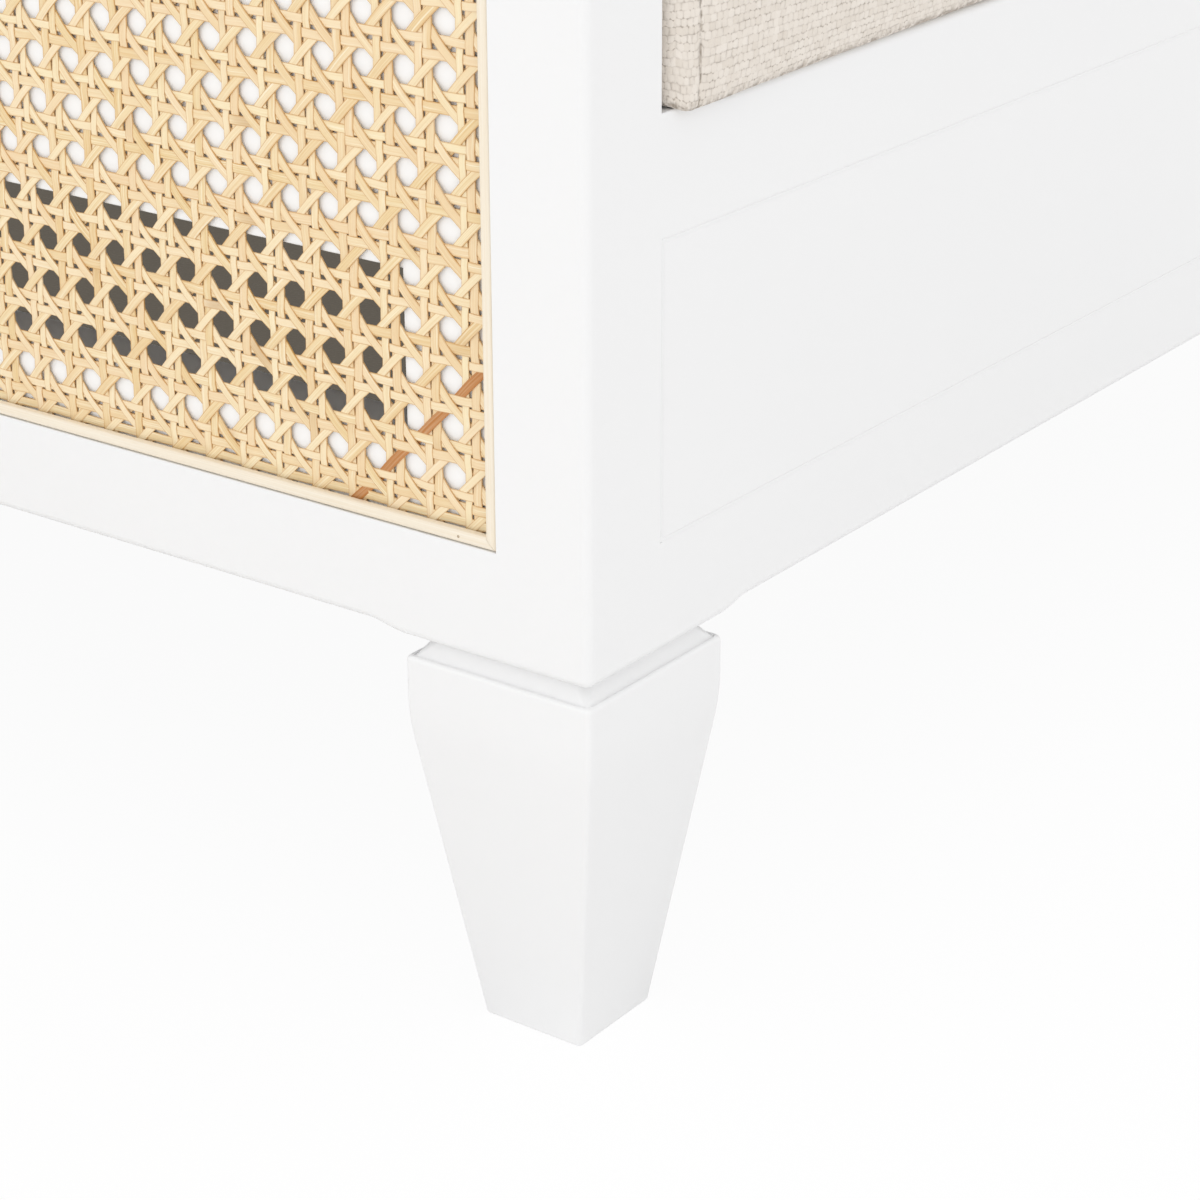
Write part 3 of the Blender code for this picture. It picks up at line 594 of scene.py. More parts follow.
def carved(bm, cutters):
    """The solid with each cutter's shape taken out of it."""
    if not cutters:
        return bm
    body = add_object("scratch", to_mesh(bm))
    tools = [add_object("scratch", to_mesh(cutter)) for cutter in cutters]
    for tool in tools:
        modifier = body.modifiers.new("carve", "BOOLEAN")
        modifier.operation = "DIFFERENCE"
        modifier.solver = "EXACT"
        modifier.object = tool
    mesh = evaluated_mesh(body)
    for made in [body, *tools]:
        remove_object(made)
    result = bmesh.new()
    result.from_mesh(mesh)
    bpy.data.meshes.remove(mesh)
    bmesh.ops.dissolve_limit(result, angle_limit=FLAT_ANGLE, verts=result.verts, edges=result.edges)
    return result


def edges_on(bm, lines, above=-1.0):
    """Edges that lie on a line, given by two planes: an axis and its value each."""
    found = []
    for edge in bm.edges:
        if min(v.co.z for v in edge.verts) < above - TOUCH:
            continue
        for line in lines:
            if all(abs(v.co[axis] - value) < TOUCH for v in edge.verts for axis, value in line):
                found.append(edge)
                break
    return found


def round_edges(bm, edges, radius=ARRIS):
    bmesh.ops.bevel(
        bm, geom=edges, offset=radius, segments=ARRIS_STEPS, profile=0.5, affect="EDGES", clamp_overlap=False
    )


def bisect(bm, axis, value):
    point, normal = [0, 0, 0], [0, 0, 0]
    point[axis], normal[axis] = value, 1
    geometry = bm.verts[:] + bm.edges[:] + bm.faces[:]
    bmesh.ops.bisect_plane(bm, geom=geometry, plane_co=point, plane_no=normal, dist=TOUCH)


def evenly_shaded(mesh):
    """The mesh with its flat faces flat and its round edges smooth."""
    mesh.shade_smooth()
    mesh.set_sharp_from_angle(angle=SHARP_ANGLE)
    made = add_object("scratch", mesh)
    weighted = made.modifiers.new("even shading", "WEIGHTED_NORMAL")
    weighted.keep_sharp = True
    weighted.weight = 100
    result = evaluated_mesh(made)
    remove_object(made)
    return result


def shaded(bm, name):
    return evenly_shaded(to_mesh(bm, name))


def side_recess(side):
    """What is taken out of one side's members for the cane and its beads."""
    return box_bmesh(
        (side * (SIDE_X + BORDER), FRONT_Y + BORDER, RAIL_BASE + BORDER),
        (side * (SIDE_X - RECESS_DEPTH), REAR_Y - BORDER, ARM_TOP - BORDER),
    )


def back_recess():
    return box_bmesh(
        (-(SIDE_X - BORDER), REAR_Y - RECESS_DEPTH, RAIL_BASE + BORDER),
        (SIDE_X - BORDER, REAR_Y + BORDER, BACK_TOP - BORDER),
    )


def groove_bar(start, stop):
    """A bar of V section along a line on the front face."""
    start, stop = Vector(start), Vector(stop)
    run = (stop - start).normalized()
    side = Vector((run.z, 0, -run.x)) * GROOVE_WIDTH
    out = Vector((0, -1, 0)) * GROOVE_DEPTH
    bm = bmesh.new()
    rings = []
    for end, push in ((start, -1), (stop, 1)):
        middle = end + run * push * GROOVE_WIDTH / 2
        rings.append([bm.verts.new(p) for p in (middle - out, middle + side + out, middle - side + out)])
    bm.faces.new(rings[0])
    bm.faces.new(rings[1][::-1])
    for i in range(3):
        j = (i + 1) % 3
        bm.faces.new((rings[0][j], rings[0][i], rings[1][i], rings[1][j]))
    bmesh.ops.recalc_face_normals(bm, faces=bm.faces)
    return bm


def groove_bars():
    """The rectangle of fine V-grooves on the front."""
    reach = SIDE_X - GROOVE_SIDE
    low, high = RAIL_BASE + GROOVE_LOW, RAIL_BASE + GROOVE_HIGH
    level = [groove_bar((-reach, FRONT_Y, z), (reach, FRONT_Y, z)) for z in (low, high)]
    upright = [groove_bar((x, FRONT_Y, low), (x, FRONT_Y, high)) for x in (-reach, reach)]
    return level + upright


def lower_rail_ends(bm, axis, reach):
    """Bring a rail's foot down to its posts' in a small S curve at each end."""
    for end in (-reach, reach):
        for cut in range(1, STEP_CUTS + 1):
            bisect(bm, axis, end - math.copysign(STEP_RUN * cut / STEP_CUTS, end))
    for vert in bm.verts:
        away = (reach - abs(vert.co[axis])) / STEP_RUN
        if away < 1 and vert.co.z < RAIL_BASE + ARRIS * 1.5:
            ease = away * away * (3 - 2 * away)
            vert.co.z -= (RAIL_BASE - POST_BASE) * (1 - ease)


def add_painted(name, bm):
    """A painted member, with its recess floors left in the paler undercoat, which paints in the light that comes
    through the cane onto them.
    """
    piece = add_piece(f"painted_{name}", shaded(bm, name), PAINT, "frame", "white_paint", name)
    piece.data.materials.append(BRIGHTENED_UNDERCOAT)
    for face in piece.data.polygons:
        on_side = abs(abs(face.center.x) - (SIDE_X - RECESS_DEPTH)) < TOUCH
        on_back = abs(face.center.y - (REAR_Y - RECESS_DEPTH)) < TOUCH
        face.material_index = int(on_side or on_back)


def post_bmesh(side, near, far, top, notch_near, notch_far):
    """A corner post, cut back above the seat to leave room for the cushions."""
    bm = box_bmesh((side * SIDE_X, near, POST_BASE), (side * POST_X, far, top))
    inside = side * (POST_X - BORDER)
    notch = box_bmesh((inside, notch_near, SEAT_LEVEL), (side * INNER_X, notch_far, top + BORDER))
    return carved(bm, [notch])


def make_front_post(name, side):
    out, cut_back = side * SIDE_X, side * INNER_X
    bm = post_bmesh(side, FRONT_Y, POST_FRONT_Y, ARM_TOP, FRONT_Y - BORDER, POST_FRONT_Y + BORDER)
    round_edges(bm, edges_on(bm, [((X, cut_back), (Y, FRONT_Y))]), INNER_ARRIS)
    lines = [
        ((X, out), (Y, FRONT_Y)),
        ((Z, SEAT_LEVEL), (Y, FRONT_Y)),
        ((X, out), (Z, ARM_TOP)),
        ((X, cut_back), (Z, ARM_TOP)),
        ((Y, FRONT_Y), (Z, ARM_TOP)),
        ((X, out), (Z, POST_BASE)),
        ((Y, FRONT_Y), (Z, POST_BASE)),
    ]
    round_edges(bm, edges_on(bm, lines))
    add_painted(name, carved(bm, [side_recess(side), *groove_bars()]))


def make_rear_post(name, side):
    out, cut_back = side * SIDE_X, side * INNER_X
    bm = post_bmesh(side, POST_REAR_Y, REAR_Y, BACK_TOP, POST_REAR_Y - BORDER, INNER_REAR_Y)
    bisect(bm, Z, ARM_TOP)
    lines = [
        ((X, out), (Y, REAR_Y)),
        ((X, out), (Z, BACK_TOP)),
        ((Y, REAR_Y), (Z, BACK_TOP)),
        ((Y, POST_REAR_Y), (Z, BACK_TOP)),
        ((X, cut_back), (Z, BACK_TOP)),
        ((Y, INNER_REAR_Y), (Z, BACK_TOP)),
        ((X, out), (Z, POST_BASE)),
        ((Y, REAR_Y), (Z, POST_BASE)),
    ]
    upper = [((X, out), (Y, POST_REAR_Y)), ((X, cut_back), (Y, POST_REAR_Y))]
    round_edges(bm, edges_on(bm, lines) + edges_on(bm, upper, ARM_TOP))
    add_painted(name, carved(bm, [side_recess(side), back_recess()]))


def make_side_rail(name, side, base, top, rounded, lowered=False):
    """A rail between two posts of one side. Each round edge is given by its distance off the middle and its level."""
    bm = box_bmesh((side * SIDE_X, POST_FRONT_Y, base), (side * INNER_X, POST_REAR_Y, top))
    round_edges(bm, edges_on(bm, [((X, side * x), (Z, z)) for x, z in rounded]))
    if lowered:
        chamfer = edges_on(bm, [((X, side * INNER_X), (Z, top))])
        bmesh.ops.bevel(bm, geom=chamfer, offset=LOW_RAIL_CHAMFER, segments=1, affect="EDGES")
        lower_rail_ends(bm, Y, POST_REAR_Y)
    add_painted(name, carved(bm, [side_recess(side)]))


def make_cross_rail(name, near, far, base, top, rounded, cutters, lowered=False):
    """A rail from side to side. Each round edge is given by its place from front to rear and its level."""
    bm = box_bmesh((-POST_X, near, base), (POST_X, far, top))
    round_edges(bm, edges_on(bm, [((Y, y), (Z, z)) for y, z in rounded]))
    if lowered:
        lower_rail_ends(bm, X, POST_X)
    add_painted(name, carved(bm, cutters))


def make_painted_frame():
    arm_edges = [(SIDE_X, ARM_TOP), (INNER_X, ARM_TOP), (INNER_X, ARM_UNDER)]
    for label, side in (("left", -1), ("right", 1)):
        make_front_post(f"front_post_{label}", side)
        make_rear_post(f"rear_post_{label}", side)
        make_side_rail(f"bottom_rail_{label}", side, RAIL_BASE, LOW_RAIL_TOP, [(SIDE_X, RAIL_BASE)], True)
        make_side_rail(f"arm_rail_{label}", side, ARM_UNDER, ARM_TOP, arm_edges)
    front_edges = [(FRONT_Y, RAIL_BASE), (FRONT_Y, SEAT_LEVEL)]
    crest_edges = [(INNER_REAR_Y, BACK_TOP), (REAR_Y, BACK_TOP), (INNER_REAR_Y, CREST_UNDER)]
    foot_edge = [(REAR_Y, RAIL_BASE)]
    make_cross_rail(
        "front_rail", FRONT_Y, INNER_FRONT_Y, RAIL_BASE, SEAT_LEVEL, front_edges, groove_bars(), True
    )
    make_cross_rail(
        "back_bottom_rail", INNER_REAR_Y, REAR_Y, RAIL_BASE, LOW_RAIL_TOP, foot_edge, [back_recess()], True
    )
    make_cross_rail("crest_rail", INNER_REAR_Y, REAR_Y, CREST_UNDER, BACK_TOP, crest_edges, [back_recess()])


def make_seat_boards():
    """The painted boards behind the cane at the seat's level, from post to post, in the paler undercoat that paints
    in the light coming through the cane.
    """
    for name in ("seat_rail_left", "seat_rail_right", "seat_back_rail"):
        low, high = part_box(name)
        along = X if name == "seat_back_rail" else Y
        ends = {X: (-POST_X, POST_X), Y: (POST_FRONT_Y, POST_REAR_Y)}
        low[along], high[along] = ends[along]
        bm = box_bmesh(low, high)
        edges = [e for e in bm.edges if abs(e.verts[0].co[along] - e.verts[1].co[along]) > BORDER]
        round_edges(bm, edges, BOARD_ARRIS)
        add_piece(f"painted_{name}", shaded(bm, name), BRIGHTENED_UNDERCOAT, "frame", "white_paint", name)


# Legs
def leg_levels():
    """Half widths of a leg from the floor up.

    An eased foot, a straight taper, a bend, a straight top, a crisp lip with a fine quirk behind it, a sloped
    shoulder and a neck.
    """
    top, foot, neck = LEG_WIDTH / 2, LEG_FOOT / 2, LEG_NECK / 2
    shoulder_level = POST_BASE - LEG_NECK_HEIGHT
    lip_level = shoulder_level - LEG_SHOULDER_DROP - LEG_LIP_DROP
    bend_level = lip_level - LEG_STRAIGHT
    slope = 0.0
    for _ in range(20):
        bend_foot = bend_level - LEG_BEND_RADIUS * math.sin(slope)
        bend_half = top - LEG_BEND_RADIUS * (1 - math.cos(slope))
        slope = math.atan2(bend_half - foot, bend_foot - FOOT_EASE)
    levels = [(0.0, foot - FOOT_EASE)]
    for step in range(1, FOOT_EASE_STEPS + 1):
        turn = math.pi / 2 * step / FOOT_EASE_STEPS
        levels.append((FOOT_EASE * (1 - math.cos(turn)), foot - FOOT_EASE * (1 - math.sin(turn))))
    for step in range(LEG_BEND_STEPS + 1):
        turn = slope * (1 - step / LEG_BEND_STEPS)
        half = top - LEG_BEND_RADIUS * (1 - math.cos(turn))
        levels.append((bend_level - LEG_BEND_RADIUS * math.sin(turn), half))
    for step in range(LEG_LIP_STEPS + 1):
        turn = math.pi / 2 * step / LEG_LIP_STEPS
        levels.append((lip_level + LEG_LIP_DROP * math.sin(turn), top - LEG_LIP * (1 - math.cos(turn))))
    lip_top, inside = lip_level + LEG_LIP_DROP, top - LEG_LIP
    levels += [(lip_top - LEG_QUIRK, inside - LEG_QUIRK * 0.4), (lip_top, inside - LEG_QUIRK * 1.6)]
    levels += [(shoulder_level, neck), (POST_BASE, neck)]
    return levels


def eased_square(half, edge):
    """A square's outline with round corners."""
    outline = []
    for quarter in range(4):
        middle = Vector((half - edge, half - edge))
        for step in range(LEG_EDGE_STEPS + 1):
            turn = math.pi / 2 * step / LEG_EDGE_STEPS
            point = middle + Vector((math.cos(turn), math.sin(turn))) * edge
            outline.append(Matrix.Rotation(math.pi / 2 * quarter, 2) @ point)
    return outline


def loft(bm, rings):
    """A closed skin through rings of points, with flat ends."""
    rows = [[bm.verts.new(point) for point in ring] for ring in rings]
    count = len(rows[0])
    for low, high in zip(rows, rows[1:]):
        for i in range(count):
            j = (i + 1) % count
            bm.faces.new((low[i], low[j], high[j], high[i]))
    bm.faces.new(rows[0][::-1])
    bm.faces.new(rows[-1])
    return rows


def make_legs():
    for name in ("leg_front_left", "leg_front_right", "leg_rear_left", "leg_rear_right"):
        low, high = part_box(name)
        middle = (low + high) / 2
        rings = []
        for level, half in leg_levels():
            edge = LEG_NECK_EDGE if level > POST_BASE - LEG_NECK_HEIGHT - TOUCH else LEG_EDGE
            rings.append([(middle.x + p.x, middle.y + p.y, level) for p in eased_square(half, edge)])
        bm = bmesh.new()
        loft(bm, rings)
        add_piece(f"painted_{name}", shaded(bm, name), PAINT, "frame", "white_paint", name)


# Cane panels and their beads
def panel_places():
    """For each panel: name, the turn from its own flat place into the chair, its width and its height."""
    side_width = REAR_Y - FRONT_Y - 2 * BORDER
    side_height = ARM_TOP - RAIL_BASE - 2 * BORDER
    back_width = 2 * (SIDE_X - BORDER)
    back_height = BACK_TOP - RAIL_BASE - 2 * BORDER
    base = RAIL_BASE + BORDER
    left = Matrix(((0, 0, -1, -SIDE_X), (-1, 0, 0, REAR_Y - BORDER), (0, 1, 0, base), (0, 0, 0, 1)))
    right = Matrix(((0, 0, 1, SIDE_X), (1, 0, 0, FRONT_Y + BORDER), (0, 1, 0, base), (0, 0, 0, 1)))
    back = Matrix(((-1, 0, 0, SIDE_X - BORDER), (0, 0, 1, REAR_Y), (0, 1, 0, base), (0, 0, 0, 1)))
    return [
        ("left", left, side_width, side_height),
        ("right", right, side_width, side_height),
        ("back", back, back_width, back_height),
    ]


def bead_outline():
    """A bead's section from the recess wall inwards and down from the outer face: round outer edges."""
    near, far = BEAD_GAP, BEAD_GAP + BEAD_WIDTH
    outline = []
    for centre, first in ((near + BEAD_ROUND, math.pi), (far - BEAD_ROUND, math.pi / 2)):
        for step in range(BEAD_ROUND_STEPS + 1):
            turn = first - math.pi / 2 * step / BEAD_ROUND_STEPS
            outline.append((centre + BEAD_ROUND * math.cos(turn), -BEAD_ROUND + BEAD_ROUND * math.sin(turn)))
    return outline + [(far, -BEAD_DEPTH), (near, -BEAD_DEPTH)]


def edge_run(start, stop):
    """Along one edge of a panel: its start, its direction, the direction into the panel and its length."""
    start, stop = Vector(start), Vector(stop)
    run = (stop - start).normalized()
    return start, run, Vector((-run.y, run.x)), (stop - start).length


def make_bead(name, begin, finish, place, seed):
    """A mitred bead along one edge of a panel, with its own lengths in a map."""
    start, run, inward, length = edge_run(begin, finish)
    stations = np.linspace(0, 1, BEAD_STATIONS)
    rings = []
    for station in stations:
        ring = []
        for across, out in bead_outline():
            mitre = across + BEAD_GAP * 0.5
            flat = start + run * (mitre + (length - 2 * mitre) * station) + inward * across
            ring.append((flat.x, flat.y, out))
        rings.append(ring)
    bm = bmesh.new()
    rows = loft(bm, rings)
    run_map = bm.loops.layers.uv.new("run")
    where = {}
    for station, row in zip(stations, rows):
        for (across, out), vert in zip(bead_outline(), row):
            where[vert] = (seed + station * length, across - out)
    for face in bm.faces:
        for loop in face.loops:
            loop[run_map].uv = where[loop.vert]
    bmesh.ops.transform(bm, matrix=place, verts=bm.verts)
    add_piece(f"wood_{name}", shaded(bm, name), BEAD_WOOD, "frame", "bead_wood", name)


def make_brads(name, corners, place):
    """Filled brad holes along the beads of one panel."""
    bm = bmesh.new()
    for begin, finish in zip(corners, corners[1:] + corners[:1]):
        start, run, inward, length = edge_run(begin, finish)
        margin = BRAD_FROM_CORNER if run.x else BRAD_FROM_CORNER_UP
        reach = length - 2 * margin
        count = round(reach / BRAD_SPACING)
        for i in range(count + 1):
            flat = start + run * (margin + reach * i / count) + inward * (BEAD_GAP + BEAD_WIDTH * 0.5)
            ring = []
            for corner in range(BRAD_SIDES):
                turn = 2 * math.pi * corner / BRAD_SIDES
                ring.append((flat.x + BRAD_SIZE / 2 * math.cos(turn), flat.y + BRAD_SIZE / 2 * math.sin(turn)))
            loft(bm, [[(x, y, level) for x, y in ring] for level in BRAD_LEVELS])
    bmesh.ops.transform(bm, matrix=place, verts=bm.verts)
    add_piece(f"brad_holes_{name}", to_mesh(bm), BRAD, "frame", "bead_wood")


def make_beads():
    side_names = {
        "left": ("bottom", "front", "top", "rear"),
        "right": ("bottom", "rear", "top", "front"),
        "back": ("bottom", "left", "top", "right"),
    }
    for name, place, width, height in panel_places():
        corners = [(0, 0), (width, 0), (width, height), (0, height)]
        for i, label in enumerate(side_names[name]):
            make_bead(f"bead_{name}_{label}", corners[i], corners[(i + 1) % 4], place, i * 3.7)
        make_brads(name, corners, place)


STRAND_INPUTS = {
    "Pitch": CANE_PITCH,
    "Hole X": 0.0,
    "Hole Y": 0.0,
    "First Along": 0.0,
    "First Across": 0.0,
    "Samples": 4,
    "Lines": 4,
    "Rise": CANE_RISE,
    "Sign": 1.0,
    "Level": -CANE_INSET,
    "Strand Width": STRAND_WIDTH,
    "Strand Thickness": STRAND_THICKNESS,
    "Sides": 6,
    "Flatness": STRAND_FLATNESS,
    "Wander": STRAND_WANDER,
    "Wobble": STRAND_WOBBLE,
    "Width Spread": STRAND_SPREAD,
    "Seed": 1,
    "Brown Strand": -1,
    "Finish": "Material",
}


def random_value(nodes, low, high, identity, seed):
    made = nodes.add("FunctionNodeRandomValue", {"ID": identity, "Seed": seed}, data_type="FLOAT").socket.node
    for socket in made.inputs:
        if socket.identifier in ("Min_001", "Max_001"):
            socket.default_value = low if socket.identifier == "Min_001" else high
    return Wire(nodes, next(s for s in made.outputs if s.identifier == "Value_001"))


def stored(nodes, geometry, name, value):
    inputs = {"Geometry": geometry, "Name": name, "Value": value}
    return nodes.add("GeometryNodeStoreNamedAttribute", inputs, "Geometry", data_type="FLOAT", domain="POINT")


def named(nodes, name):
    return nodes.add("GeometryNodeInputNamedAttribute", {"Name": name}, "Attribute", data_type="FLOAT")


def strands_to_mesh(nodes, given, leave, points):
    """Flat, slightly domed strands along lines of points that carry their strand and place along it."""
    lines = {"Points": points, "Curve Group ID": named(nodes, "strand"), "Weight": named(nodes, "along")}
    curves = nodes.add("GeometryNodePointsToCurves", lines)
    curves = nodes.add("GeometryNodeSetCurveNormal", {"Curve": curves}, mode="Z_UP")
    ring = nodes.add("GeometryNodeCurvePrimitiveCircle", {"Resolution": given["Sides"], "Radius": 1.0})
    turn = {"Vector": nodes.add("GeometryNodeInputPosition"), "Angle": math.pi / given["Sides"]}
    x, y, _ = nodes.parts(nodes.add("ShaderNodeVectorRotate", turn, rotation_type="Z_AXIS"))
    across, over = (
        nodes.maths("SIGN", value) * nodes.maths("ABSOLUTE", value) ** given["Flatness"] for value in (x, y)
    )
    ring = stored(nodes, ring, "across", across)
    half_width, half_thickness = given["Strand Width"] * 0.5, given["Strand Thickness"] * 0.5
    section = nodes.combine(across * half_width, over * half_thickness, 0.0)
    ring = nodes.add("GeometryNodeSetPosition", {"Geometry": ring, "Position": section})
    spread = (named(nodes, "tone") - 0.5) * given["Width Spread"] + 1.0
    sweep = {"Curve": curves, "Profile Curve": ring, "Scale": spread, "Fill Caps": True}
    mesh = nodes.add("GeometryNodeCurveToMesh", sweep)
    mesh = nodes.add("GeometryNodeSetShadeSmooth", {"Geometry": mesh, "Shade Smooth": True})
    mesh = nodes.add("GeometryNodeRealizeInstances", {"Geometry": mesh})
    mesh = nodes.add("GeometryNodeSetMaterial", {"Geometry": mesh, "Material": given["Finish"]})
    nodes.link(mesh, leave["Mesh"])


def index_parts(nodes, given):
    """The strand that a point belongs to, and its number along that strand."""
    index = nodes.add("GeometryNodeInputIndex")
    strand = nodes.maths("FLOOR", index / given["Samples"])
    return strand, index - strand * given["Samples"]


def strand_points(nodes, given, strand, along, place):
    """The points of a set of strands, each with its strand's tone, some strand brown."""
    count = given["Samples"] * given["Lines"]
    points = nodes.add("GeometryNodePoints", {"Count": count, "Position": place})
    points = stored(nodes, points, "strand", strand)
    points = stored(nodes, points, "along", along)
    points = stored(nodes, points, "tone", random_value(nodes, 0.0, 1.0, strand, given["Seed"]))
    return stored(nodes, points, "brown", nodes.maths("COMPARE", strand, given["Brown Strand"], 0.1))


def strand_stray(nodes, given, strand, along):
    """How far a strand lies to one side: a little all along, and a slow wobble."""
    shift = random_value(nodes, -1.0, 1.0, strand, given["Seed"] + 7.0)
    wave = nodes.noise(nodes.combine(along * 42.0, strand * 5.3, given["Seed"]), 1.0, 1.0)
    return shift * given["Wander"] + (wave - 0.5) * given["Wobble"]


def straight_strands_tree():
    """Pairs of strands along one way: each goes over and under the two strands of every pair that it crosses."""
    inputs = {**STRAND_INPUTS, "Half Gap": PAIR_HALF_GAP, "Upright": 0.0}
    nodes, given, leave = new_group("straight strands", "Geometry", inputs, ("Mesh",), "Geometry")
    pitch, upright = given["Pitch"], given["Upright"]
    strand, sample = index_parts(nodes, given)
    pair = nodes.maths("FLOOR", strand / 2.0)
    swing = (strand - pair * 2.0) * 2.0 - 1.0
    along = sample * (pitch * 0.25) + given["First Along"]
    across = swing * given["Half Gap"] + (pair * pitch + given["First Across"])
    across = across + strand_stray(nodes, given, strand, along)
    flat = 1.0 - upright
    hole = given["Hole X"] * flat + given["Hole Y"] * upright
    turn = nodes.maths("FRACT", (along - hole) / pitch)
    wave = nodes.maths("SINE", (0.5 - turn) * (4 * math.pi))
    near_node = 1.0 - nodes.maths("COSINE", turn * (2 * math.pi))
    lift = wave * near_node * 0.5 * given["Rise"] * (swing * -1.0)
    level = lift * given["Sign"] + given["Level"]
    place = nodes.combine(along * flat + across * upright, along * upright + across * flat, level)
    strands_to_mesh(nodes, given, leave, strand_points(nodes, given, strand, along, place))
    return nodes.tree


def slanting_strands_tree():
    """Strands on the slant between the holes, over one pair and under the next."""
    inputs = {**STRAND_INPUTS, "Slope": 1.0, "Low": 0.0, "High": 1.0}
    nodes, given, leave = new_group("slanting strands", "Geometry", inputs, ("Mesh",), "Geometry")
    pitch = given["Pitch"]
    strand, sample = index_parts(nodes, given)
    along = sample * (pitch / 6.0) + given["First Along"]
    from_hole = along - given["Hole X"]
    up = from_hole * given["Slope"] + (strand * pitch + given["First Across"])
    up = up + strand_stray(nodes, given, strand, along)
    wave = nodes.maths("COSINE", from_hole * (2 * math.pi) / pitch)
    level = wave * given["Rise"] * given["Sign"] + given["Level"]
    points = strand_points(nodes, given, strand, along, nodes.combine(along, up, level))
    _, height, _ = nodes.parts(nodes.add("GeometryNodeInputPosition"))
    outside = nodes.maths("LESS_THAN", height, given["Low"]) + nodes.maths("GREATER_THAN", height, given["High"])
    points = nodes.add("GeometryNodeDeleteGeometry", {"Geometry": points, "Selection": outside}, domain="POINT")
    strands_to_mesh(nodes, given, leave, points)
    return nodes.tree


STRAIGHT_STRANDS = straight_strands_tree()
SLANTING_STRANDS = slanting_strands_tree()


def strands_mesh(tree, values):
    """The plain mesh that a tree of strands makes from these values."""
    made = add_object("scratch", bpy.data.meshes.new("strands"))
    modifier = made.modifiers.new("strands", "NODES")
    modifier.node_group = tree
    for item in tree.interface.items_tree:
        if item.item_type == "SOCKET" and item.in_out == "INPUT" and item.name in values:
            modifier[item.identifier] = values[item.name]
    mesh = evaluated_mesh(made)
    remove_object(made)
    return mesh


def first_step(place, low, step):
    """The first of a row of places, a step apart, that isn't below a limit."""
    return place - math.floor((place - low) / step) * step


def straight_families(width, height, hole_x, hole_y):
    """The upright and the level strands of a panel, and one more level strand along its foot."""
    families = []
    ways = {"upright": (1.0, 1.0, hole_x, width, hole_y, height), "level": (0.0, -1.0, hole_y, height, hole_x, width)}
    for label, (upright, sign, across_hole, across_size, along_hole, along_size) in ways.items():
        step = CANE_PITCH / 4
        first_across = first_step(across_hole + CANE_PITCH / 2, CANE_MARGIN + PAIR_HALF_GAP, CANE_PITCH)
        first_along = first_step(along_hole + CANE_PITCH / 8, CANE_MARGIN, step)
        pairs = int((across_size - CANE_MARGIN - PAIR_HALF_GAP - first_across) / CANE_PITCH) + 1
        values = {
            "First Along": first_along,
            "First Across": first_across,
            "Samples": int((along_size - CANE_MARGIN - first_along) / step) + 1,
            "Lines": pairs * 2,
            "Rise": STRAIGHT_RISE,
            "Sign": sign,
            "Upright": upright,
            "Seed": 11 + len(families),
        }
        families.append((label, STRAIGHT_STRANDS, values))
    foot = BEAD_GAP + BEAD_WIDTH + FOOT_STRAND_IN + PAIR_HALF_GAP
    return families, ("foot", STRAIGHT_STRANDS, {**values, "First Across": foot, "Lines": 1, "Seed": 41})


def slanting_families(width, height, hole_x, hole_y, brown):
    """The rising and the falling strands of a panel."""
    families = []
    low, high, step = CANE_MARGIN, height - CANE_MARGIN, CANE_PITCH / 6
    first_along = first_step(hole_x, low, step)
    samples = int((width - CANE_MARGIN - first_along) / step) + 1
    for label, slope, sign in (("rising", -1.0, 1.0), ("falling", 1.0, -1.0)):
        ends = [slope * (first_along - hole_x + count * step) for count in (0, samples - 1)]
        first_across = first_step(hole_y + CANE_PITCH / 2, low - max(ends), CANE_PITCH)
        values = {
            "First Along": first_along,
            "First Across": first_across,
            "Samples": samples,
            "Lines": int((high - min(ends) - first_across) / CANE_PITCH) + 1,
            "Sign": sign,
            "Slope": slope,
            "Low": low,
            "High": high,
            "Strand Width": DIAGONAL_WIDTH,
            "Seed": 33 + len(families),
            "Brown Strand": brown.get(label, -1),
        }
        families.append((label, SLANTING_STRANDS, values))
    return families


def make_cane(name, place, width, height, hole_x, hole_y, sides, brown):
    common = {"Hole X": hole_x, "Hole Y": hole_y, "Sides": sides, "Finish": CANE}
    families, foot = straight_families(width, height, hole_x, hole_y)
    families += slanting_families(width, height, hole_x, hole_y, brown) + [foot]
    nodes = [f"cane_{name}"]
    for label, tree, values in families:
        mesh = strands_mesh(tree, {**common, **values})
        mesh.transform(place)
        add_piece(f"cane_{name}_{label}_strands", evenly_shaded(mesh), CANE, "frame", "cane", *nodes)
        nodes = []


def make_canes():
    hole_y = HOLE_FROM_RAIL - BORDER
    for name, place, width, height in panel_places():
        if name == "left":
            hole_x, sides, brown = width - (HOLE_FROM_FRONT - BORDER), 6, {"falling": BROWN_STRAND}
        elif name == "right":
            hole_x, sides, brown = HOLE_FROM_FRONT - BORDER, 4, {}
        else:
            hole_x, sides, brown = width / 2, 4, {}
        make_cane(name, place, width, height, hole_x, hole_y, sides, brown)


# Cushions
def lattice(counts):
    """Points and four-sided faces on the skin of a unit box, each face with the axis that it looks along."""
    numbers, points, faces = {}, [], []

    def point(key):
        if key not in numbers:
            numbers[key] = len(points)
            points.append(key)
        return numbers[key]

    for axis in range(3):
        first, second = (axis + 1) % 3, (axis + 2) % 3
        for end in (0, counts[axis]):
            for i in range(counts[first]):
                for j in range(counts[second]):
                    loop = []
                    for a, b in ((0, 0), (1, 0), (1, 1), (0, 1)):
                        key = [0, 0, 0]
                        key[axis], key[first], key[second] = end, i + a, j + b
                        loop.append(point(tuple(key)))
                    faces.append((loop if end else loop[::-1], axis))
    return np.array(points, float), faces


